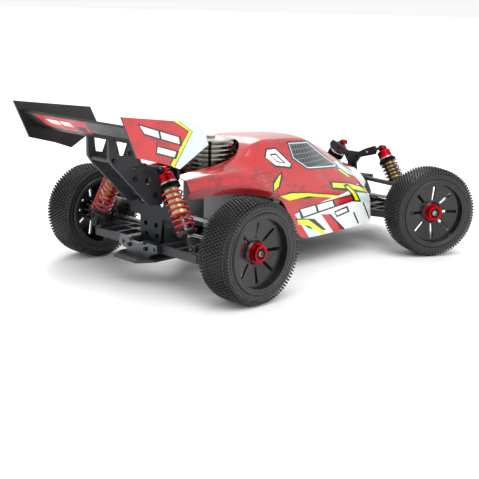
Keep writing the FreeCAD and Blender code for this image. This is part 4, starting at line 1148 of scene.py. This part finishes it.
# Side view of the shell, x and z in millimetres: what is listed later lies on top.
SHELL_FIELDS = (
    Field(ICE, ((-6, 68), (22, 34), (156, 34), (152, 70), (128, 88), (96, 84), (48, 78)), 60),
    Field(WHITE, ((22, 62), (34, 34), (156, 34), (150, 58), (92, 80), (50, 72)), 60),
    Field(ICE, ((104, 116), (118, 98), (150, 92), (160, 104), (132, 112)), 24, 56),
    Field(WHITE, ((128, 104), (140, 84), (186, 60), (186, 96), (152, 106)), 24),
    Field(RED, ((-30, 70), (-4, 66), (22, 36), (4, 34), (-30, 36)), 60),
    Field(INK, ((-34, 93), (-14, 96), (76, 83), (76, 75), (16, 84), (-16, 82)), 58),
    Field(LIME, ((-31, 92.5), (-14, 94), (18, 90.5), (18, 87), (-16, 86)), 58),
    Field(LIME, ((18, 90.5), (74, 81), (74, 78), (18, 87)), 58),
    Field(INK, ((68, 98), (104, 93), (152, 80), (152, 73), (98, 83), (66, 89)), 50),
    Field(LIME, ((74, 95.5), (108, 90.5), (103, 86), (70, 91)), 50),
    Field(LIME, ((108, 90.5), (150, 78.5), (147, 75), (103, 86)), 50),
    Field(INK, ((92, 91), (104, 91), (121, 67), (103, 70)), 58),
    Field(LIME, ((96, 89), (102, 89), (116, 70), (107, 71)), 58),
    Field(INK, ((100, 108), (112, 108), (126, 94), (118, 93)), 40, 60),
    Field(LIME, ((103, 107), (109, 107), (122, 95), (118, 94.5)), 40, 60),
    Field(INK, ((-4, 63), (30, 58), (60, 36), (46, 34), (22, 47), (-2, 52)), 60),
    Field(LIME, ((-1, 61), (19, 58.5), (23, 50), (1, 55)), 60),
    Field(LIME, ((19, 58.5), (54, 37), (48, 35), (20, 50.5)), 60),
    Field(RED, ((42, 62), (56, 60), (88, 35), (68, 35)), 60),
    Field(INK, ((56, 60), (60, 60), (92, 35), (88, 35)), 60),
    Field(INK, ((0, 74), (102, 80), (108, 71), (6, 61)), 60),
    Field(WHITE, ((4, 72.5), (30, 74), (34, 66), (10, 63.5)), 60),
    Field(WHITE, ((34, 74.3), (62, 76), (66, 69), (38, 66.4)), 60),
    Field(RED, ((66, 76.2), (98, 78.2), (103, 72.6), (70, 69.4)), 60),
    Field(INK, ((66, 62), (92, 66), (97, 58), (72, 54)), 60),
    Field(WHITE, ((69, 60.5), (90, 63.6), (93, 59.4), (73, 56.2)), 60),
    Field(INK, ((104, 56), (107, 56), (118, 40), (115, 40)), 60),
    Field(INK, ((124, 66), (127, 66), (143, 42), (140, 42)), 60),
    Field(INK, ((-44, 99), (-34, 109), (-8, 118), (-14, 110), (-28, 101)), 54),
    Field(LIME, ((-40, 100), (-34, 106), (-14, 114.5), (-17, 111), (-29, 103)), 54),
    Field(INK, ((-30, 135), (-22, 143.5), (-6, 143.5), (14, 122.5), (8, 118), (-18, 122.5)), 34),
    Field(WHITE, ((-27.5, 134), (-21, 141.5), (-7, 141.5), (11, 123), (7, 120.5), (-16.5, 124.5)), 34),
    Field(INK, ((-20, 137), (-9, 137), (3, 124.5), (-12, 127)), 34),
    Field(WHITE, ((-17.5, 135.4), (-10.5, 135.2), (-1, 126), (-11, 128.4)), 34),
    Field(INK, ((17, 148), (60, 146), (112, 113), (110, 109), (38, 114), (16, 128)), 28),
    Field(ICE, ((20, 146), (58, 144), (108, 112), (104, 110.5), (39, 115.5), (19, 129)), 28),
    Field("#0d0e11", ((21, 145), (57, 143), (104.5, 112.5), (103, 111.8), (39.5, 116.7), (20.3, 129.4)), 28,
          net=5.5),
)

END_PLATE_FIELDS = (
    Field(INK, ((-230, 204), (-170, 196), (-150, 165), (-188, 180)), 90),
    Field(INK, ((-188, 180), (-150, 165), (-199, 138), (-213, 150)), 90),
    Field(LIME, ((-227, 203), (-170, 196), (-150, 165), (-187, 180.5)), 90),
    Field(LIME, ((-187, 180.5), (-150, 165), (-199, 138), (-211, 149)), 90),
    Field(INK, ((-219, 202), (-170, 196), (-150, 165), (-183, 180)), 90),
    Field(INK, ((-183, 180), (-150, 165), (-199, 138), (-206, 147)), 90),
    Field(ICE, ((-217, 201.5), (-170, 196), (-150, 165), (-182, 180)), 90),
    Field(ICE, ((-182, 180), (-150, 165), (-199, 138), (-205, 146.5)), 90),
    Field(INK, ((-254, 193), (-198, 176), (-196, 166), (-246, 181)), 90),
    Field(WHITE, ((-251, 190.5), (-228, 183.5), (-226, 176.5), (-245, 182.4)), 90),
    Field(WHITE, ((-225, 182.6), (-201, 175.4), (-199.5, 168.6), (-223, 175.6)), 90),
    Field(INK, ((-230, 170), (-200, 161.5), (-204, 153.5), (-231, 161)), 90),
    Field(WHITE, ((-228, 168), (-204, 161), (-206.5, 156), (-229, 162.4)), 90),
)

TAIL_PANEL = (
    Field(RED, ((74, 186.8), (-20, 186.8), (-12, 172.2), (62, 172.2)), view=View.UNDER_TAIL),
    Field(WHITE, ((56, 183), (34, 183), (32, 178.4), (50, 178.4)), view=View.UNDER_TAIL),
    Field(WHITE, ((30, 183), (12, 183), (12, 178.4), (28, 178.4)), view=View.UNDER_TAIL),
    Field(INK, ((8, 180), (-12, 180), (-9, 174.5), (8, 174.5)), view=View.UNDER_TAIL),
)


@dataclass
class BodyShell:
    """Vacuum-formed painted shell: side pods, cab and a narrow nose."""

    wall: float = 1.2
    opening: tuple[float, float] = (-68.0, 33.0)
    creases: tuple[float, ...] = (1.0, 0.8, 0.4, 0.85, 0.25)
    stations: tuple[tuple[float, tuple[Point2, ...]], ...] = (
        (-150, ((50, 97), (56, 107.5), (50, 119), (34, 122), (14, 123))),
        (-125, ((53, 98), (60, 110), (53, 122), (36, 125.5), (14, 126.5))),
        (-100, ((56, 100), (64, 111.5), (56, 123), (38, 127), (14, 128.5))),
        (-72, ((62, 98), (72, 107.5), (60, 122), (39, 131), (15, 134))),
        (-55, ((67, 96), (78, 103), (62, 120), (41, 137), (16, 141))),
        (-42, ((71, 92), (79.4, 99), (62, 117.5), (40.5, 147.5), (17, 150.5))),
        (-27, ((79, 90), (80, 96), (62, 116), (40, 152.3), (18, 154.3))),
        (-12, ((80, 63), (80, 94), (62, 115), (40, 152.6), (18, 154.8))),
        (3, ((80, 36), (80, 91.5), (62, 113), (40, 151.8), (18, 154.6))),
        (28, ((80, 36), (80, 89.5), (61.5, 111), (39.3, 150.6), (18, 153.8))),
        (53, ((80, 36), (80, 87), (61, 109), (38, 149), (18, 152.5))),
        (70, ((80, 36.4), (80, 84.5), (59.5, 105.5), (35.6, 142), (18, 147.6))),
        (88, ((80, 36.8), (80, 82.5), (59, 104), (34.4, 132), (17, 142))),
        (105, ((80, 37), (80, 80), (58, 103), (33, 122.5), (16, 135.2))),
        (123, ((80, 37.5), (78.5, 76.5), (55, 101), (31.5, 114.5), (15.5, 125.5))),
        (141, ((79.5, 38), (76, 72.5), (52, 98), (30, 107), (15, 116.5))),
        (152, ((74, 41), (70, 68), (49, 93), (28, 102), (14, 110))),
        (157, ((60, 54), (57, 71), (46, 88), (27, 100), (13.6, 108.2))),
        (165, ((47, 78), (46, 84), (37, 93.5), (25.5, 100), (13, 105.6))),
        (173, ((45, 80), (43, 85), (33, 94), (24, 99), (12, 103))),
    )

    def cage(self) -> bpy.types.Object:
        """Build the smooth outer skin from its stations, with held creases along the pods.

        Returns:
            The cage, before its modifiers.
        """
        rows = [[(x, y, z) for y, z in half] + [(x, -y, z) for y, z in reversed(half)] for x,
                half in self.stations]
        wide = len(rows[0])
        points = [p for row in rows for p in row]
        faces = [(k * wide + i, k * wide + i + 1, (k + 1) * wide + i + 1, (k + 1) * wide + i)
                 for k in range(len(rows) - 1) for i in range(wide - 1)]
        shell = build("painted_shell", points, faces, [PAINT], None, 180.0)
        crease = shell.data.attributes.new("crease_edge", "FLOAT", "EDGE")
        for edge in shell.data.edges:
            a, b = (shell.data.vertices[i].co / MM for i in edge.vertices)
            if abs(a.x - b.x) > 2:
                crease.data[edge.index].value = self.creases[self.rank(a)]
        return shell

    def rank(self, point: Vector) -> int:
        """Return which of the five lines of the half section a cage corner lies on."""
        half = next(h for x, h in self.stations if abs(x - point.x) < 0.5)
        return min(range(5), key=lambda i: (half[i][0] - abs(point.y)) ** 2 + (half[i][1] - point.z) ** 2)

    def cutter(self) -> bpy.types.Object:
        """Build the tool that opens the shell for the cooling head and everything behind it.

        Returns:
            The tool.
        """
        x, r = self.opening
        outline = [(-200.0, -r), (x, -r)] + [(x + r * math.sin(t), -r * math.cos(t))
                                             for t in (math.pi * k / 24 for k in range(1, 24))] + [(x, r),
                                                                                                   (-200.0, r)]
        count = len(outline)
        points = [(px, py, h) for h in (60.0, 200.0) for px, py in outline]
        faces = [tuple(range(count)), tuple(range(2 * count - 1, count - 1, -1))]
        faces += [(i, (i + 1) % count, count + (i + 1) % count, count + i) for i in range(count)]
        return build("shell_cutter", points, faces, [PAINT])

    def make(self) -> None:
        """Build the skin, open it and give it its wall."""
        shell = self.cage()
        smooth = shell.modifiers.new("smooth", "SUBSURF")
        smooth.levels = smooth.render_levels = 3
        wall = shell.modifiers.new("wall", "SOLIDIFY")
        wall.thickness = self.wall * MM
        wall.offset = -1.0
        tool = self.cutter()
        opening = shell.modifiers.new("opening", "BOOLEAN")
        opening.object = tool
        opening.operation = "DIFFERENCE"
        opening.solver = "EXACT"
        done = plain(shell)
        bpy.data.objects.remove(tool)
        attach(done, "chassis")
        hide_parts("body_shell")
        report("shell", done)


PAINT = SprayedShell("gloss sprayed polycarbonate", fields=SHELL_FIELDS)
PLATE_PAINT = SprayedShell("gloss film on moulded nylon", base="#c9101c", scale=5.5, fields=END_PLATE_FIELDS)
WING_NYLON = MouldedNylon("moulded wing nylon with film panel", "#101112", "#1c1d1f", 0.34, fields=TAIL_PANEL)


@dataclass
class Hardware:
    """Small hardware on the body: screws, a dark bar on the head and the bosses on the wing mount."""

    mount_face: float = 20.0
    head_x: float = -68.0
    head_reach: float = 27.0

    def screws(self) -> list[bpy.types.Object]:
        """Grow button heads and their sockets on the wing mount and the towers.

        Returns:
            The heads and the sockets.
        """
        heads = screw_grower("button heads", 20, 2.7, 1.5, 0.0, OXIDE_STEEL)
        sockets = screw_grower("hexagon sockets", 6, 1.35, 0.12, 1.5, DARK_SPRING)
        made = []
        for side in Side:
            s = side.sign
            spots = {
                "mount": (pose((0, s * self.mount_face, 0), (0, s, 0)),
                          [(-225, 144), (-169, 101), (-203, 150), (-197, 122)]),
            }
            for name, (place, points) in spots.items():
                seeds = [tuple(place.inverted() @ Vector((x, s * self.mount_face, z))) for x, z in points]
                made.append(heads.grow(f"screws_{name}_{side.label}", place, None, seeds))
                made.append(sockets.grow(f"screw_sockets_{name}_{side.label}", place, None, seeds))
        for name, x, facing, points in (("rear_tower", -158.0, -1,
                                         ((37, 118), (37, 124), (26, 108), (8, 100))),
                                        ("front_tower", 201.0, 1, ((9, 110), (26, 115.2), (7, 80)))):
            place = pose((x, 0, 0), (facing, 0, 0), (0, 1, 0))
            seeds = [tuple(place.inverted() @ Vector((x, sign * y, z))) for sign in (1, -1) for y,
                     z in points]
            made.append(heads.grow(f"screws_{name}", place, None, seeds))
            made.append(sockets.grow(f"screw_sockets_{name}", place, None, seeds))
        return made

    def clamp(self) -> bpy.types.Object:
        """Build the dark upright bar that stands against the fins on the head's rear right.

        Returns:
            The bar.
        """
        # This is only a dark upright bar against the fins. No clamp is known to stand there.
        outline = [(-1.8, self.head_reach - 1.5), (1.8, self.head_reach - 1.5), (1.8, self.head_reach + 0.8),
                   (1.2, self.head_reach + 1.4),
                   (-1.2, self.head_reach + 1.4), (-1.8, self.head_reach + 0.8)]
        turn = Matrix.Translation((self.head_x, 0, 0)) @ Matrix.Rotation(math.radians(135), 4, "Z")
        count = len(outline)
        points = [(x, y, z) for z in (107.0, 153.5) for x, y in outline]
        faces = [tuple(range(count)), tuple(range(2 * count - 1, count - 1, -1))]
        faces += [(i, (i + 1) % count, count + (i + 1) % count, count + i) for i in range(count)]
        return build("head_clamp", points, faces, [BLACK_ALUMINIUM_AND_SOCKET_SHADE], turn)

    def bosses(self) -> list[bpy.types.Object]:
        """Build the ringed bosses on the outer faces of the wing mount.

        Returns:
            The bosses of both sides.
        """
        made = []
        for side in Side:
            s = side.sign
            place = pose((-185.0, s * self.mount_face, 132.0), (0, s, 0))
            ring = [(4.6, -0.4), (4.6, 0.7), (5.0, 1.1), (6.0, 1.1), (6.4, 0.7), (6.4, -0.4)]
            made.append(lathe(f"mount_boss_{side.label}", ring, GREY_NYLON, place, 40))
            core = [(0, -0.4), (0, 0.9), (2.4, 0.9), (2.8, 0.5), (2.8, -0.4)]
            made.append(lathe(f"mount_boss_core_{side.label}", core, GREY_NYLON, place, 32))
        return made

    def make(self) -> None:
        """Build the hardware and fix it to the chassis."""
        for piece in [*self.screws(), self.clamp(), *self.bosses()]:
            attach(piece, "chassis")
            report("hardware", piece)


def dress(node: str, finishes: Sequence[Finish], tell: Callable[[Vector], int] | None = None) -> None:
    """Give a node of the assembly its finishes.

    Args:
        node: Node name.
        finishes: Finishes of the material slots.
        tell: Gives a face's slot from its centre in millimetres.
    """
    mesh = NODES[node].data
    mesh.materials.clear()
    for finish in finishes:
        mesh.materials.append(finish.material())
    if tell is not None:
        slots = [tell(polygon.center / MM) for polygon in mesh.polygons]
        mesh.polygons.foreach_set("material_index", slots)
    else:
        mesh.polygons.foreach_set("material_index", [0] * len(mesh.polygons))
    mesh.update()


@dataclass
class Dressing:
    """Finishes of the nodes that keep their own shape."""

    plain_nodes: dict[str, Finish] = field(default_factory=lambda: {
        "chassis_plate": DARK_PLATE, "guards": BLACK_NYLON, "arm_holders": GUNMETAL, "diff_cases": GREY_NYLON,
        "rear_shock_tower": DARK_PLATE, "front_shock_tower": DARK_PLATE, "wing_mount": GREY_NYLON,
        "exhaust": BRIGHT_ALUMINIUM,
        "radio_box": BLACK_NYLON, "fasteners": OXIDE_STEEL, "servo_saver": BLACK_NYLON,
        "idler_crank": BLACK_NYLON,
        "steering_plate": GUNMETAL, "fuel_lid": BLACK_NYLON, "cooling_head": HEAD_ALUMINIUM,
        "fuel_tank": TANK_PLASTIC,
    })

    def rim(self, wheel: Wheel) -> None:
        """Tell the rim, the red nut, the hexagon and the axle apart by where they are.

        Args:
            wheel: Corner whose rim is dressed.
        """
        back = wheel.place().inverted()

        def tell(point: Vector) -> int:
            """Return the slot of a face from its radius and height about the axle.

            Args:
                point: Middle of the face in millimetres.

            Returns:
                Slot number.
            """
            local = back @ point
            r, w = math.hypot(local.x, local.y), local.z
            if r < 4.4:
                return 2
            if w > 9.9 and r < 10.7:
                return 1
            return 2 if w < -4.0 and r < 11 else 0

        dress(f"rim_{wheel.tag}", [RIM_NYLON, RED_ALUMINIUM, STEEL], tell)

    def engine(self, point: Vector) -> int:
        """Return the slot of an engine face: case, filter or carburettor.

        Args:
            point: Middle of the face in millimetres.

        Returns:
            Slot number.
        """
        if point.z > 101 and point.x > -46:
            return 1
        return 2 if point.x > -41 else 0

    def drive(self, point: Vector) -> int:
        """Return the slot of a centre drive face: plates and case, or turning steel."""
        return 1 if abs(point.z - 48) < 4 and abs(point.y) < 4 else 0

    def make(self, wheels: Sequence[Wheel]) -> None:
        """Dress every node.

        Args:
            wheels: The four corners.
        """
        for node, finish in self.plain_nodes.items():
            dress(node, [finish])
        for wheel in wheels:
            self.rim(wheel)
        dress("engine", [CAST_ALUMINIUM, FOAM, BLACK_NYLON], self.engine)
        dress("centre_drive", [STEEL, OXIDE_STEEL], self.drive)
        dress("rear_wing", [WING_NYLON, PLATE_PAINT], self.wing)
        for side in Side:
            for end in End:
                tag = f"{end.value}_{side.label}"
                dress(f"arm_{tag}", [GREY_NYLON])
                dress(f"driveshaft_{tag}", [STEEL])
                dress(f"link_{tag}", [GREY_NYLON] if end is End.FRONT else [BLACK_NYLON, STEEL],
                      None if end is End.FRONT else self.link)
            for node in (f"c_hub_{side.label}", f"knuckle_{side.label}", f"upright_rear_{side.label}"):
                dress(node, [GREY_NYLON])
            dress(f"tie_rod_{side.label}", [STEEL])
        LOG.info("dressed %d nodes", len(NODES))

    def link(self, point: Vector) -> int:
        """Return the slot of a camber rod face: nylon ends or bright middle."""
        return 1 if 40 < abs(point.y) < 89 else 0

    def wing(self, point: Vector) -> int:
        """Return the slot of a wing face: film covers the plates' outer faces."""
        return 1 if abs(point.y) > 94.45 else 0


HEAD_ALUMINIUM = TurnedAluminium("turned cooling head aluminium", "#7d7c76", "#bfbcb2", 0.3, 1.3,
                                 (-68.0, 0.0, 0.0))


@dataclass
class Studio:
    """Pale floor, soft lights and the camera."""

    position: Point3 = (-840.1, -819.6, 304.6)
    right: Point3 = (0.70917532, -0.70462835, 0.02385886)
    up: Point3 = (0.14883365, 0.18270071, 0.97183795)
    back: Point3 = (-0.6891436, -0.68565249, 0.23443925)
    lens: float = 72.8

    def camera(self) -> None:
        """Place the camera."""
        data = bpy.data.cameras.new("camera")
        data.lens = self.lens
        data.sensor_width = 36.0
        data.clip_start = 0.05
        data.clip_end = 50.0
        obj = bpy.data.objects.new("camera", data)
        turn = Matrix((self.right, self.up, self.back)).transposed().to_4x4()
        obj.matrix_world = Matrix.Translation(Vector(self.position) * MM) @ turn
        bpy.context.scene.collection.objects.link(obj)
        bpy.context.scene.camera = obj

    def floor(self) -> None:
        """Lay a wide flat floor that meets the even backdrop far behind the buggy."""
        reach = 60000.0
        points = [(-reach, -reach, 0), (reach, -reach, 0), (reach, reach, 0), (-reach, reach, 0)]
        paper = build("studio_floor", points, [(0, 1, 2, 3)], [StudioPaper("seamless studio paper")])

    def light(self, name: str, spot: Point3, aim: Point3, size: float, power: float) -> None:
        """Hang one square soft light.

        Args:
            name: Name of the light.
            spot: Its place in metres.
            aim: Point that it faces, in metres.
            size: Side of the square in metres.
            power: Power in watts.
        """
        data = bpy.data.lights.new(name, "AREA")
        data.shape = "SQUARE"
        data.size = size
        data.energy = power
        obj = bpy.data.objects.new(name, data)
        obj.location = Vector(spot)
        obj.rotation_mode = "QUATERNION"
        obj.rotation_quaternion = (Vector(aim) - Vector(spot)).to_track_quat("-Z", "Y")
        bpy.context.scene.collection.objects.link(obj)

    def sun(self) -> None:
        """Hang a broad even light high over the floor."""
        data = bpy.data.lights.new("overhead", "SUN")
        data.angle = math.radians(40)
        data.energy = 0.9
        obj = bpy.data.objects.new("overhead", data)
        obj.rotation_mode = "QUATERNION"
        obj.rotation_quaternion = Vector((0.25, 0.35, -1.0)).to_track_quat("-Z", "Y")
        bpy.context.scene.collection.objects.link(obj)

    def make(self) -> None:
        """Build the studio."""
        self.camera()
        self.floor()
        self.light("key", (-0.3, -1.5, 1.5), (0, 0, 0.05), 1.2, 12.0)
        self.light("fill", (-1.8, 0.2, 0.9), (0, 0, 0.08), 1.4, 3.0)
        self.light("rim", (0.9, 1.3, 1.3), (0, 0, 0.1), 0.8, 12.0)
        self.sun()
        world = bpy.data.worlds.new("studio")
        world.use_nodes = True
        sky = world.node_tree.nodes["Background"]
        sky.inputs["Color"].default_value = linear("#ffffff")
        sky.inputs["Strength"].default_value = 0.95
        bpy.context.scene.world = world
        bpy.context.scene.view_settings.view_transform = "Standard"


def main() -> None:
    """Build the studio, then the sub-assemblies in order."""
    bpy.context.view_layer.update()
    Studio().make()
    wheels = [Wheel(end, side) for end in End for side in Side]
    tread = tread_grower(wheels[0])
    nut_knurl = rib_grower("nut knurl", 36, 10.4, 10.1, 11.5, 0.7, RED_ALUMINIUM)
    for wheel in wheels:
        wheel.make(tread, nut_knurl)
    collar_knurl = rib_grower("collar knurl", 40, 10.9, 17.4, 20.3, 0.8, BLACK_ALUMINIUM_AND_SOCKET_SHADE)
    coils = {End.REAR: coil_grower("rear coil", RED_SPRING),
             End.FRONT: coil_grower("front coil", DARK_SPRING)}
    for end in End:
        for side in Side:
            Shock(end, side, GOLD_ALUMINIUM if end is End.REAR else TAN_ALUMINIUM).make(coils[end],
                                                                                        collar_knurl)
    BodyShell().make()
    Hardware().make()
    Dressing().make(wheels)


if __name__ == "__main__":
    main()
